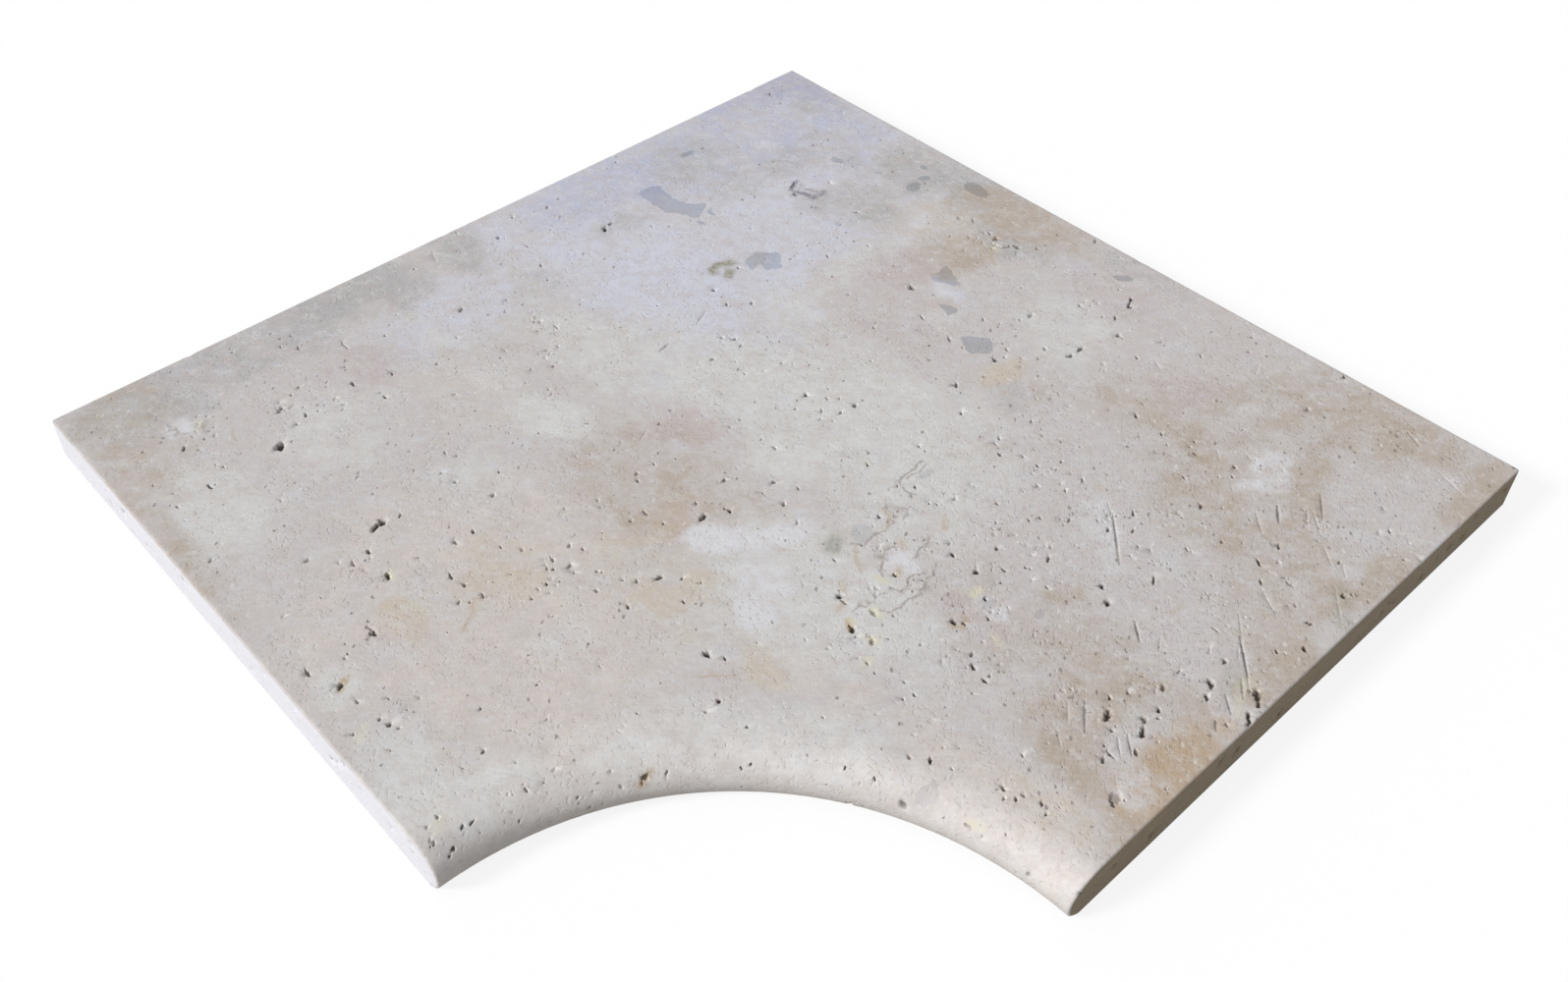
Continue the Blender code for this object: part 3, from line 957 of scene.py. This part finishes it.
class Shell:
    """Collects the points and triangles of the stone's one closed skin."""

    def __init__(self):
        self.points = []
        self.places = []
        self.dirt_and_shade = []
        self.crystals_and_highlight = []
        self.triangles = []
        self.faces = []
        self.face = 0

    def add(self, points, places=None, dirt_and_shade=None, crystals_and_highlight=None):
        """Add points and return their indices."""
        first = len(self.points)
        points = np.array(points, float).reshape(-1, 3)
        self.points += points.tolist()
        self.places += (points[:, :2] * (1, -1) if places is None else places).tolist()
        self.dirt_and_shade += [0.0] * len(points) if dirt_and_shade is None else dirt_and_shade.tolist()
        self.crystals_and_highlight += [0.0] * len(points) if crystals_and_highlight is None else crystals_and_highlight.tolist()
        return list(range(first, first + len(points)))

    def fill(self, flat, indices, outline_count):
        """Fill an outline, given first, and the points inside it with triangles."""
        spots = [Vector(spot) for spot in flat]
        loop = list(range(outline_count))
        made = geometry.delaunay_2d_cdt(spots, [], [loop], INSIDE_ONLY, TOLERANCE)
        _, _, triangles, sources, _, _ = made
        for corners in triangles:
            self.triangles.append([indices[sources[corner][0]] for corner in corners])
        self.name_faces()

    def strip(self, left, right):
        """Fill the space between two lines of as many points."""
        for row in range(len(left) - 1):
            self.triangles.append([left[row], right[row], right[row + 1]])
            self.triangles.append([left[row], right[row + 1], left[row + 1]])
        self.name_faces()

    def name_faces(self):
        """Say which face of the stone the new triangles belong to."""
        self.faces += [self.face] * (len(self.triangles) - len(self.faces))


def face_number(part):
    """The number of a sawn face's triangles. Those of the honed tread and bullnose have 0."""
    return 1 + list(SAWN_FACES).index(part)


def tread_and_nose(shell, outline):
    """The honed top and the bullnose, with all that is dug into them. Returns the outline."""
    places = np.concatenate([outline, eased_rows(outline), layout_points()])
    points, normals = surface(places)
    ragged = wobble(places, RAGGED_SIZE, RAGGED_SLICE)
    depth, dirt_and_shade, crystals_and_highlight = dug_pits(places, ragged, ALL_PITS)
    grooves = dug_grooves(places, ragged)
    # Deep gouges darken: partly dirt, partly painted shade
    dirt_and_shade = np.maximum(dirt_and_shade, GROOVE_DIRT_AND_SHADE * smooth((grooves - UNDARKENED_GROOVE) / UNDARKENED_GROOVE))
    depth = np.maximum(depth, grooves)
    depth = np.maximum(depth, dug_chips(places, ragged)) + eased(places)
    indices = shell.add(points - normals * depth[:, None], places, dirt_and_shade, crystals_and_highlight)
    shell.fill(places, indices, len(outline))
    return indices[:len(outline)]


def leg(shell, top):
    """A line of points from the outline straight down to the bed, its top point first."""
    x, y, height = shell.points[top]
    if height < ON_BED:
        return [top]
    heights = np.linspace(height, 0, COLUMN_STEPS + 1)[1:]
    return [top] + shell.add([(x, y, z) for z in heights])


def sawn_pits(low, high, seed):
    """Pits of a sawn face, in mm along it and up it."""
    dice = random.Random(seed)
    pits = []
    for _ in range(round((high - low) * SAWN_PITS)):
        along = dice.uniform(low + SAWN_MARGIN, high - SAWN_MARGIN)
        up = dice.uniform(SAWN_MARGIN, THICKNESS - SAWN_MARGIN)
        pits.append(small_pit(dice, along, up, *SAWN_PIT))
    return pits


def wall(shell, rim, first, last, seed):
    """A sawn face below part of the outline, between two legs. Returns its lower edge."""
    start = np.array(shell.points[first[-1]])
    end = np.array(shell.points[last[-1]])
    middle = shell.add(stretch(start, end, WALL_SPACING)[1:])
    run = (end - start) / np.linalg.norm(end - start)
    loop = rim + last[1:] + middle[::-1] + first[:0:-1]
    offsets = np.array([shell.points[index] for index in loop]) - start
    flat = np.stack([offsets @ run, offsets[:, 2]], -1)
    low, high = flat[:, 0].min(), flat[:, 0].max()
    pits = sawn_pits(low, high, seed)
    layers = [points_over(*pit[:5], max(pit[3] / PIT_STEPS, FINEST)) for pit in pits]
    layers.append(honeycomb(low, high, 0, THICKNESS, WALL_SPACING, seed))
    grid = thinned(layers, [FINE_GAP] * len(pits) + [WIDE_GAP])
    grid = grid[inside(grid, flat, WALL_SPACING / 3)]
    depth, dirt_and_shade, _ = dug_pits(grid, wobble(grid, RAGGED_SIZE, seed), pits)
    upright = np.array((0, 0, 1))
    inward = np.array((run[1], -run[0], 0))
    points = start + grid[:, :1] * run + grid[:, 1:] * upright + depth[:, None] * inward
    added = shell.add(points, None, dirt_and_shade)
    shell.fill(np.concatenate([flat, grid]), loop + added, len(loop))
    return [first[-1]] + middle + [last[-1]]


def sides(shell, parts, outline):
    """The sawn faces, and the rubbed corners, each as the sawn face before it. Returns the bed's outline."""
    ring = outline + outline[:1]
    ends = np.cumsum([0] + [len(points) for points in parts.values()])
    legs = {}
    for part, first, last in zip(parts, ends, ends[1:]):
        tops = range(first, last + 1) if part.endswith("corner") else (first, last)
        for top in tops:
            if ring[top] not in legs:
                legs[ring[top]] = leg(shell, ring[top])
    bed = []
    for part, first, last in zip(parts, ends, ends[1:]):
        rim = ring[first:last + 1]
        if part == "nose":
            foot = rim
        elif part.endswith("corner"):
            for top, following in zip(rim, rim[1:]):
                shell.strip(legs[top], legs[following])
            foot = [legs[top][-1] for top in rim]
        else:
            shell.face = face_number(part)
            foot = wall(shell, rim, legs[rim[0]], legs[rim[-1]], int(last))
        bed += foot[:-1]
    return bed


def underside(shell, bed):
    """The sawn bed that lies in the mortar, a little uneven but nowhere below its edge."""
    flat = np.array([shell.points[index] for index in bed])[:, :2]
    grid = honeycomb(0, SIDE, -SIDE, 0, BED_SPACING, BED_SEED)
    grid = grid[inside(grid, flat, BED_SPACING / 3)]
    rise = BED_UNEVEN * (1 + wobble(grid, BED_WAVE, BED_SLICE)[:, 0])
    added = shell.add(np.stack([grid[:, 0], grid[:, 1], rise], -1))
    shell.face = face_number("bed")
    shell.fill(np.concatenate([flat, grid]), bed + added, len(bed))


def cloud_strength(places, clouds):
    """How strongly clouds of one colour cover each place, 0 to 1."""
    bare = np.ones(len(places))
    for u, v, half_length, half_width, strength, *turn in clouds:
        along, across = along_and_across(places, u, v, sum(turn))
        reach = np.hypot(along / half_length, across / half_width)
        bare *= 1 - strength * smooth(CLOUD_EDGE - reach)
    return 1 - bare


def depth_inside(places, outline, reach):
    """The places near an outline, and how far inside it each lies, in mm, negative outside."""
    loop = np.array(outline, float)
    middle = loop.mean(0)
    close = near(places, *middle, np.abs(loop - middle).max() + reach)
    gap = to_line(places[close], outline + outline[:1])
    signed = np.where(inside(places[close], loop, 0), gap, -gap)
    return close, np.clip(signed, -reach, reach)


def calcite_depth(places, outlines):
    """How far inside a calcite patch each place lies, in mm, and negative outside."""
    depth = np.full(len(places), -CALCITE_REACH)
    for outline in outlines:
        close, signed = depth_inside(places, outline, CALCITE_REACH)
        depth[close] = np.maximum(depth[close], signed)
    return depth


def chalk_strength(places):
    """How strongly the chalky patches cover each place, fading across their edges."""
    covered = np.zeros(len(places))
    for strength, outline in CHALKY:
        close, signed = depth_inside(places, outline, CHALK_REACH)
        covered[close] = np.maximum(covered[close], strength * smooth(0.5 + signed / CHALK_REACH))
    return covered


def line_strength(places, lines):
    """How strongly marks or veins cover each place."""
    covered = np.zeros(len(places))
    for points, half_width, strength in lines:
        gap = to_line(places, points)
        covered = np.maximum(covered, strength * smooth(LINE_CORE - gap / half_width / LINE_FADE))
    return covered


def masks(places):
    """The colour masks of the stone, each with its value at every point."""
    drift = swayed(places, DRIFT)
    frayed = swayed(places, FRAYING)
    values = {name: cloud_strength(places + drift, clouds) for name, clouds in CLOUDS.items()}
    values["scored"] = cloud_strength(places + drift, SCORED)
    values["chalk"] = chalk_strength(places + CHALK_DRIFT * drift)
    # Paler towards the bullnose: partly rubbed stone, partly a painted sheen
    values["polish_and_sheen"] = smooth(1 - to_nose_end(places) / (NOSE_RUN[-1] + POLISH_AND_SHEEN_REACH))
    width, strength = SCRATCH_LINE
    scratches = [((groove[:2], groove[2:4]), groove[4] * width, strength) for groove in GROOVES]
    values["scratch"] = line_strength(places + SCRATCH_FRAYING * frayed, scratches)
    for name, outlines in CALCITE.items():
        values[name] = calcite_depth(places + MARK_FRAYING * frayed, outlines)
    for name, lines in MARKS.items():
        values[name] = line_strength(places + MARK_FRAYING * frayed, lines)
    veins = [(points, *VEIN_LINE) for points in VEINS]
    values["vein"] = line_strength(places + swayed(places, WIGGLE), veins)
    return values


def stone_skin():
    """The whole stone as one closed mesh, with its colour masks."""
    shell = Shell()
    parts = layout_outline()
    outline = tread_and_nose(shell, np.concatenate(list(parts.values())))
    underside(shell, sides(shell, parts, outline))
    mesh = bpy.data.meshes.new("coping_stone_skin")
    points = (np.array(shell.points) + (-SIDE / 2, SIDE / 2, 0)) * MM
    mesh.from_pydata(points.tolist(), [], shell.triangles)
    skin = bmesh.new()
    skin.from_mesh(mesh)
    bmesh.ops.recalc_face_normals(skin, faces=skin.faces)
    skin.to_mesh(mesh)
    skin.free()
    mesh.shade_smooth()
    mesh.set_sharp_from_angle(angle=math.radians(SHARP_ANGLE))
    values = masks(np.array(shell.places))
    values["dirt_and_shade"] = np.array(shell.dirt_and_shade)
    values["crystals_and_highlight"] = np.array(shell.crystals_and_highlight)
    for name, value in values.items():
        mask = mesh.attributes.new(name, "FLOAT", "POINT")
        mask.data.foreach_set("value", value.astype(np.float32))
    face = mesh.attributes.new("face", "FLOAT", "FACE")
    face.data.foreach_set("value", shell.faces)
    return mesh


def tone(red, green, blue):
    """A colour given as it looks on a screen, 0 to 255, as the shader wants it."""
    shares = [channel / 255 for channel in (red, green, blue)]
    return [((share + 0.055) / 1.055) ** 2.4 for share in shares] + [1.0]


def grey(level):
    """A grey as the shader wants it."""
    return (level, level, level, 1)


# Where a Mix node keeps its factor, its two colours and their mixture
MIX_COLOUR_INPUTS = (0, 6, 7)
MIX_COLOUR_OUTPUT = 2
# How near a Math node's COMPARE has to find two whole numbers to call them the same
HALF_A_NUMBER = 0.5


class Graph:
    """Adds the nodes of one material."""

    def __init__(self, name):
        self.material = bpy.data.materials.new(name)
        self.material.use_nodes = True
        self.tree = self.material.node_tree
        self.shader = self.tree.nodes["Principled BSDF"]
        self.place = self.add("ShaderNodeTexCoord").outputs["Object"]

    def add(self, kind, values=(), **settings):
        """A node, with its settings, and its first inputs' values or links."""
        node = self.tree.nodes.new(kind)
        for name, value in settings.items():
            setattr(node, name, value)
        for socket, value in zip(node.inputs, values):
            self.put(socket, value)
        return node

    def put(self, socket, value):
        """Link an input to an output, set its value, or leave it where there is none."""
        if isinstance(value, bpy.types.NodeSocket):
            self.tree.links.new(value, socket)
        elif value is not None:
            socket.default_value = value

    def moved(self, shift, stretched=None):
        """The place on the stone, moved along, and turned and stretched if so asked."""
        spot = self.vector("ADD", self.place, (shift, shift, shift))
        if stretched is None:
            return spot
        turn, length = stretched
        lie = (spot, None, (0, 0, math.radians(turn)), (length, 1, 1))
        return self.add("ShaderNodeMapping", lie, vector_type="TEXTURE").outputs[0]

    def shaken(self, shift, size, reach, stretched):
        """The place on the stone, moved and shaken by up to some mm, for ragged shapes."""
        spot = self.moved(shift, stretched)
        wave = self.add("ShaderNodeTexNoise", (spot,))
        wave.inputs["Scale"].default_value = 1 / (size * MM)
        sway = self.vector("SUBTRACT", wave.outputs["Color"], (0.5, 0.5, 0.5))
        sway = self.vector("SCALE", sway, None, None, 2 * reach * MM)
        return self.vector("ADD", spot, sway)

    def noise(self, size, detail, rough, shift, stretched=None):
        """Noise, about 0 to 1, whose blotches are some mm across."""
        node = self.add("ShaderNodeTexNoise", (self.moved(shift, stretched),))
        node.inputs["Scale"].default_value = 1 / (size * MM)
        node.inputs["Detail"].default_value = detail
        node.inputs["Roughness"].default_value = rough
        return node.outputs["Fac"]

    def math(self, operation, first, second):
        """One sum of two values."""
        return self.add("ShaderNodeMath", (first, second), operation=operation).outputs[0]

    def vector(self, operation, *values):
        """One sum with places."""
        return self.add("ShaderNodeVectorMath", values, operation=operation).outputs[0]

    def ramp(self, value, low, high, to_low=0.0, to_high=1.0):
        """Ease a value from one range to another."""
        ends = (value, low, high, to_low, to_high)
        node = self.add("ShaderNodeMapRange", ends, interpolation_type="SMOOTHSTEP")
        return node.outputs[0]

    def mask(self, name):
        """A mask of the mesh."""
        return self.add("ShaderNodeAttribute", attribute_name=name).outputs["Fac"]

    def mix(self, base, colour, amount, blend="MIX"):
        """Lay a colour over another."""
        node = self.add("ShaderNodeMix", data_type="RGBA", blend_type=blend)
        factor, first, second = (node.inputs[index] for index in MIX_COLOUR_INPUTS)
        self.put(factor, amount)
        self.put(first, base)
        self.put(second, colour)
        return node.outputs[MIX_COLOUR_OUTPUT]

    def cover(self, base, shade, mask, most):
        """Lay a screen colour over another where a mask is, at most so strongly."""
        return self.mix(base, tone(*shade), self.math("MULTIPLY", mask, most))

    def bump(self, height, depth, strength, normal=None, invert=False):
        """A normal tilted by a height that goes from 0 to 1, over a depth in mm."""
        node = self.add("ShaderNodeBump", invert=invert)
        node.inputs["Strength"].default_value = strength
        node.inputs["Distance"].default_value = depth * MM
        self.put(node.inputs["Height"], height)
        self.put(node.inputs["Normal"], normal)
        return node.outputs["Normal"]


def torn(graph, name, size, shift):
    """A mask of the mesh, its soft edges torn by noise."""
    cover = graph.mask(name)
    tears = graph.noise(size, detail=8, rough=0.68, shift=shift)
    tears = graph.ramp(tears, 0.28, 0.72, -TEARING, TEARING)
    half = graph.math("MULTIPLY", cover, graph.math("SUBTRACT", 1.0, cover))
    ends = (half, tears, cover)
    return graph.add("ShaderNodeMath", ends, operation="MULTIPLY_ADD", use_clamp=True).outputs[0]


def clouded(graph):
    """The honed stone's colour: torn clouds of several tones, under washes, chalk, and polish with a painted
    sheen.
    """
    colour = tone(*STONE)
    for order, (name, shade) in enumerate(CLOUD_TONES.items()):
        colour = graph.mix(colour, tone(*shade), torn(graph, name, size=18, shift=1.7 * order))
    for order, (shade, size, most) in enumerate(WASHES):
        lie = (BRUSHING, WASH_LENGTH)
        patch = graph.noise(size, detail=7, rough=0.7, shift=20.3 + 3.1 * order, stretched=lie)
        colour = graph.mix(colour, tone(*shade), graph.ramp(patch, 0.5, 0.72, 0.0, most))
    colour = graph.mix(colour, tone(*CHALK_TONE), torn(graph, "chalk", size=11, shift=17.9))
    # Paler towards the bullnose: partly rubbed stone, partly a painted sheen
    polish_and_sheen = torn(graph, "polish_and_sheen", size=16, shift=4.4)
    return graph.cover(colour, POLISH_AND_SHEEN_TONE, polish_and_sheen, POLISH_AND_SHEEN_COVER)


def specks(graph, size, share, shift, length):
    """Small ragged specks in loose clusters, 0 to 1. Share is how many of the places have one."""
    spot = graph.shaken(shift, size=1.6, reach=1.1, stretched=(SCORING, length))
    cells = graph.add("ShaderNodeTexVoronoi", (spot,))
    cells.inputs["Scale"].default_value = 1 / (size * MM)
    chance = graph.add("ShaderNodeSeparateColor", (cells.outputs["Color"],)).outputs
    crowd = graph.noise(26, detail=3, rough=0.5, shift=shift)
    crowd = graph.ramp(crowd, 0.38, 0.68, 0.1 * share, 2 * share)
    scored = graph.ramp(graph.mask("scored"), 0.0, 1.0, 0.6, 1.7)
    chosen = graph.math("LESS_THAN", chance[0], graph.math("MULTIPLY", crowd, scored))
    rim = graph.ramp(chance[1], 0.0, 1.0, 0.08, 0.32)
    speck = graph.ramp(graph.math("SUBTRACT", cells.outputs["Distance"], rim), 0.07, -0.07)
    return graph.math("MULTIPLY", chosen, speck)


def strokes(graph, width, length, shift):
    """Short thin strokes along the scoring, 0 to 1."""
    thread = graph.noise(width, detail=2, rough=0.5, shift=shift, stretched=(SCORING, length))
    thread = graph.ramp(thread, 0.63, 0.74)
    crowd = graph.ramp(graph.noise(22, detail=3, rough=0.5, shift=shift), 0.45, 0.65)
    return graph.math("MULTIPLY", graph.math("MULTIPLY", thread, crowd), graph.mask("scored"))


def mottled(graph, colour):
    """Finer blotches, white curds and diagonal brushing over a colour."""
    warm = graph.noise(8, detail=7, rough=0.72, shift=11.3)
    colour = graph.mix(colour, tone(*WARM_MOTTLE), graph.ramp(warm, 0.38, 0.72, 0.0, 0.42))
    cool = graph.noise(6, detail=8, rough=0.78, shift=13.1)
    colour = graph.mix(colour, tone(*COOL_MOTTLE), graph.ramp(cool, 0.5, 0.66, 0.0, 0.5))
    fine = graph.noise(2.0, detail=4, rough=0.7, shift=2.9)
    fine = graph.ramp(fine, 0.25, 0.75, 0.955, 1.04)
    lie = (BRUSHING, BRUSH_LENGTH)
    brushed = graph.noise(1.6, detail=4, rough=0.65, shift=7.7, stretched=lie)
    brushed = graph.ramp(brushed, 0.25, 0.75, 0.965, 1.03)
    return graph.mix(colour, graph.math("MULTIPLY", fine, brushed), 1.0, "MULTIPLY")


def filled(graph, colour, ground):
    """A colour with calcite laid over it, and how much calcite there is."""
    ragged = graph.noise(2.5, detail=4, rough=0.6, shift=4.1)
    ragged = graph.ramp(ragged, 0.2, 0.8, -0.8, 0.8)
    calcite = 0.0
    for name, tint in CALCITE_TINTS.items():
        patch = graph.ramp(graph.math("ADD", graph.mask(name), ragged), -0.3, 0.5)
        colour = graph.mix(colour, graph.mix(ground, tone(*tint), 1.0, "MULTIPLY"), patch)
        calcite = graph.math("MAXIMUM", calcite, patch)
    return colour, calcite


def sawn(graph, shade, turn, banded):
    """The colour of a sawn face: level bands of the stone, blotches, and fine saw lines."""
    bands = graph.noise(7, detail=5, rough=0.62, shift=31.7, stretched=(turn, BAND_LENGTH))
    bands = graph.ramp(bands, 0.3, 0.7, 0.9, 1.05)
    blotches = graph.ramp(graph.noise(9, detail=7, rough=0.7, shift=27.1), 0.3, 0.7, 0.93, 1.04)
    lines = graph.noise(1.1, detail=3, rough=0.6, shift=23.9, stretched=(turn, SAW_LENGTH))
    lines = graph.ramp(lines, 0.3, 0.7, 0.965, 1.02)
    shades = graph.math("MULTIPLY", graph.math("MULTIPLY", bands, blotches), lines)
    return graph.mix(tone(*shade), shades, banded, "MULTIPLY")


def travertine():
    """Honed travertine, with its calcite, stains and veins, pits darkened by dirt and painted shade, and its
    sawn faces.
    """
    graph = Graph("travertine_honed")
    ground = clouded(graph)
    colour = mottled(graph, ground)
    flecks = specks(graph, size=2.8, share=0.13, shift=3.3, length=FLECK_LENGTH)
    colour = graph.cover(colour, FLECK_TONE, flecks, FLECK_COVER)
    holes = specks(graph, size=2.6, share=0.07, shift=8.9, length=PINHOLE_LENGTH)
    colour = graph.cover(colour, PINHOLE_TONE, holes, PINHOLE_COVER)
    scratches = strokes(graph, width=1.0, length=STROKE_LENGTH, shift=5.7)
    colour = graph.cover(colour, STROKE_TONE, scratches, STROKE_COVER)
    colour, calcite = filled(graph, colour, ground)
    colour = graph.mix(colour, tone(*SCRATCH_TONE), graph.mask("scratch"))
    patchy = graph.ramp(graph.noise(2.2, detail=4, rough=0.65, shift=5.2), 0.34, 0.56, 0.4, 1.0)
    for name, shade in MARK_TONES.items():
        colour = graph.cover(colour, shade, graph.mask(name), patchy)
    # The right joint face's colour holds painted shade, and the left joint face's painted light
    for part, (shade, turn, banded) in SAWN_FACES.items():
        numbers = (graph.mask("face"), face_number(part), HALF_A_NUMBER)
        face = graph.add("ShaderNodeMath", numbers, operation="COMPARE")
        colour = graph.mix(colour, sawn(graph, shade, turn, banded), face.outputs[0])
    # Pale crystals on the pits' sunlit rims: partly a painted highlight
    colour = graph.cover(colour, CRYSTAL_HIGHLIGHT_TONE, graph.mask("crystals_and_highlight"), patchy)
    # Pit and gouge floors darkened: partly dirt, partly painted shade
    colour = graph.mix(colour, tone(*DIRT_AND_SHADE_TONE), graph.mask("dirt_and_shade"))
    graph.put(graph.shader.inputs["Base Color"], colour)
    roughness = graph.mix(grey(STONE_ROUGHNESS), grey(CALCITE_ROUGHNESS), calcite)
    graph.put(graph.shader.inputs["Roughness"], roughness)
    graph.shader.inputs["Specular IOR Level"].default_value = SPECULAR
    grain(graph, graph.math("MAXIMUM", holes, scratches))
    return graph.material


def grain(graph, cuts):
    """The fine tooth of honed stone, its shallow dents, and its pinholes and scratches."""
    tooth = graph.noise(1.4, detail=5, rough=0.72, shift=6.3)
    crowd = graph.ramp(graph.noise(24, detail=3, rough=0.5, shift=9.4), 0.36, 0.6, 0.15, 1.0)
    dents = graph.ramp(graph.noise(2.6, detail=3, rough=0.55, shift=1.2), 0.54, 0.72)
    dents = graph.math("MULTIPLY", dents, crowd)
    dashes = graph.noise(1.5, detail=3, rough=0.6, shift=14.6, stretched=(SCORING, DASH_LENGTH))
    scored = graph.ramp(graph.mask("scored"), 0.0, 1.0, 0.15, 1.0)
    dashes = graph.math("MULTIPLY", graph.ramp(dashes, 0.55, 0.75), scored)
    normal = graph.bump(tooth, TOOTH_DEPTH, TOOTH_STRENGTH)
    for height, depth in ((dents, DENT_DEPTH), (dashes, DASH_DEPTH), (cuts, CUT_DEPTH)):
        normal = graph.bump(height, depth, SUNK_STRENGTH, normal, invert=True)
    graph.put(graph.shader.inputs["Normal"], normal)


def placed(name, data):
    """A new object of the scene."""
    thing = bpy.data.objects.new(name, data)
    bpy.context.scene.collection.objects.link(thing)
    return thing


def stone():
    """The stone, in place of the plain solid."""
    mesh = stone_skin()
    mesh.materials.append(travertine())
    piece = placed("coping_stone_dressed", mesh)
    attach(piece, "root")
    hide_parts(NODE)


def camera():
    """A camera that looks down on the pool corner, as the photograph's did."""
    lens = bpy.data.cameras.new("camera")
    lens.lens = FOCAL_LENGTH
    lens.sensor_width = SENSOR_WIDTH
    lens.shift_x, lens.shift_y = LENS_SHIFT
    eye = placed("camera", lens)
    eye.location = EYE
    eye.rotation_euler = [math.radians(angle) for angle in EYE_TURN]
    bpy.context.scene.camera = eye


def sun():
    """Broad daylight that comes low over the left joint face."""
    lamp = bpy.data.lights.new("sun", "SUN")
    lamp.energy = SUN_STRENGTH
    lamp.color = SUN_COLOUR
    lamp.angle = math.radians(SUN_SPREAD)
    bearing = math.radians(SUN_BEARING)
    height = math.radians(SUN_HEIGHT)
    level = math.cos(height)
    towards = Vector((level * math.sin(bearing), level * math.cos(bearing), math.sin(height)))
    placed("sun", lamp).rotation_euler = towards.to_track_quat("Z", "Y").to_euler()


def seen_directly(tree):
    """1 where the camera looks, itself or by a reflection or through glass."""
    path = tree.nodes.new("ShaderNodeLightPath")
    total = path.outputs["Is Camera Ray"]
    for name in ("Is Glossy Ray", "Is Transmission Ray"):
        largest = tree.nodes.new("ShaderNodeMath")
        largest.operation = "MAXIMUM"
        tree.links.new(total, largest.inputs[0])
        tree.links.new(path.outputs[name], largest.inputs[1])
        total = largest.outputs[0]
    return total


def lit_and_shown(tree, lit, shown, end):
    """Give an output one shader for the light that it sends on, and another for its own look."""
    either = tree.nodes.new("ShaderNodeMixShader")
    for socket, source in zip(either.inputs, (seen_directly(tree), lit.outputs[0], shown.outputs[0])):
        tree.links.new(source, socket)
    tree.links.new(either.outputs[0], tree.nodes[end].inputs[0])


def sky():
    """Even light from all round, which itself looks white."""
    world = bpy.data.worlds.new("sky")
    world.use_nodes = True
    tree = world.node_tree
    lit = tree.nodes["Background"]
    lit.inputs["Color"].default_value = SKY_COLOUR
    lit.inputs["Strength"].default_value = SKY_STRENGTH
    shown = tree.nodes.new("ShaderNodeBackground")
    shown.inputs["Color"].default_value = grey(1)
    lit_and_shown(tree, lit, shown, "World Output")
    bpy.context.scene.world = world


def floor_finish():
    """A matte floor that looks near white and keeps a faint shadow."""
    material = bpy.data.materials.new("pale_floor")
    material.use_nodes = True
    tree = material.node_tree
    tree.nodes.remove(tree.nodes["Principled BSDF"])
    bounce = tree.nodes.new("ShaderNodeBsdfDiffuse")
    bounce.inputs["Color"].default_value = FLOOR_BOUNCE
    shadow = tree.nodes.new("ShaderNodeBsdfDiffuse")
    shadow.inputs["Color"].default_value = grey(FLOOR_SHADE)
    glow = tree.nodes.new("ShaderNodeEmission")
    glow.inputs["Strength"].default_value = 1 - FLOOR_SHADE
    shown = tree.nodes.new("ShaderNodeAddShader")
    tree.links.new(shadow.outputs[0], shown.inputs[0])
    tree.links.new(glow.outputs[0], shown.inputs[1])
    lit_and_shown(tree, bounce, shown, "Material Output")
    return material


def floor():
    """A plain level floor under the stone."""
    half = FLOOR_SIDE / 2
    mesh = bpy.data.meshes.new("floor")
    corners = [(-half, -half, 0), (half, -half, 0), (half, half, 0), (-half, half, 0)]
    mesh.from_pydata(corners, [], [(0, 1, 2, 3)])
    mesh.materials.append(floor_finish())
    ground = placed("floor", mesh)
    ground.location.z = CAD_LOW.z - FLOOR_GAP


noise.seed_set(NOISE_SEED)
stone()
floor()
sky()
sun()
camera()
bpy.context.scene.view_settings.view_transform = "Standard"
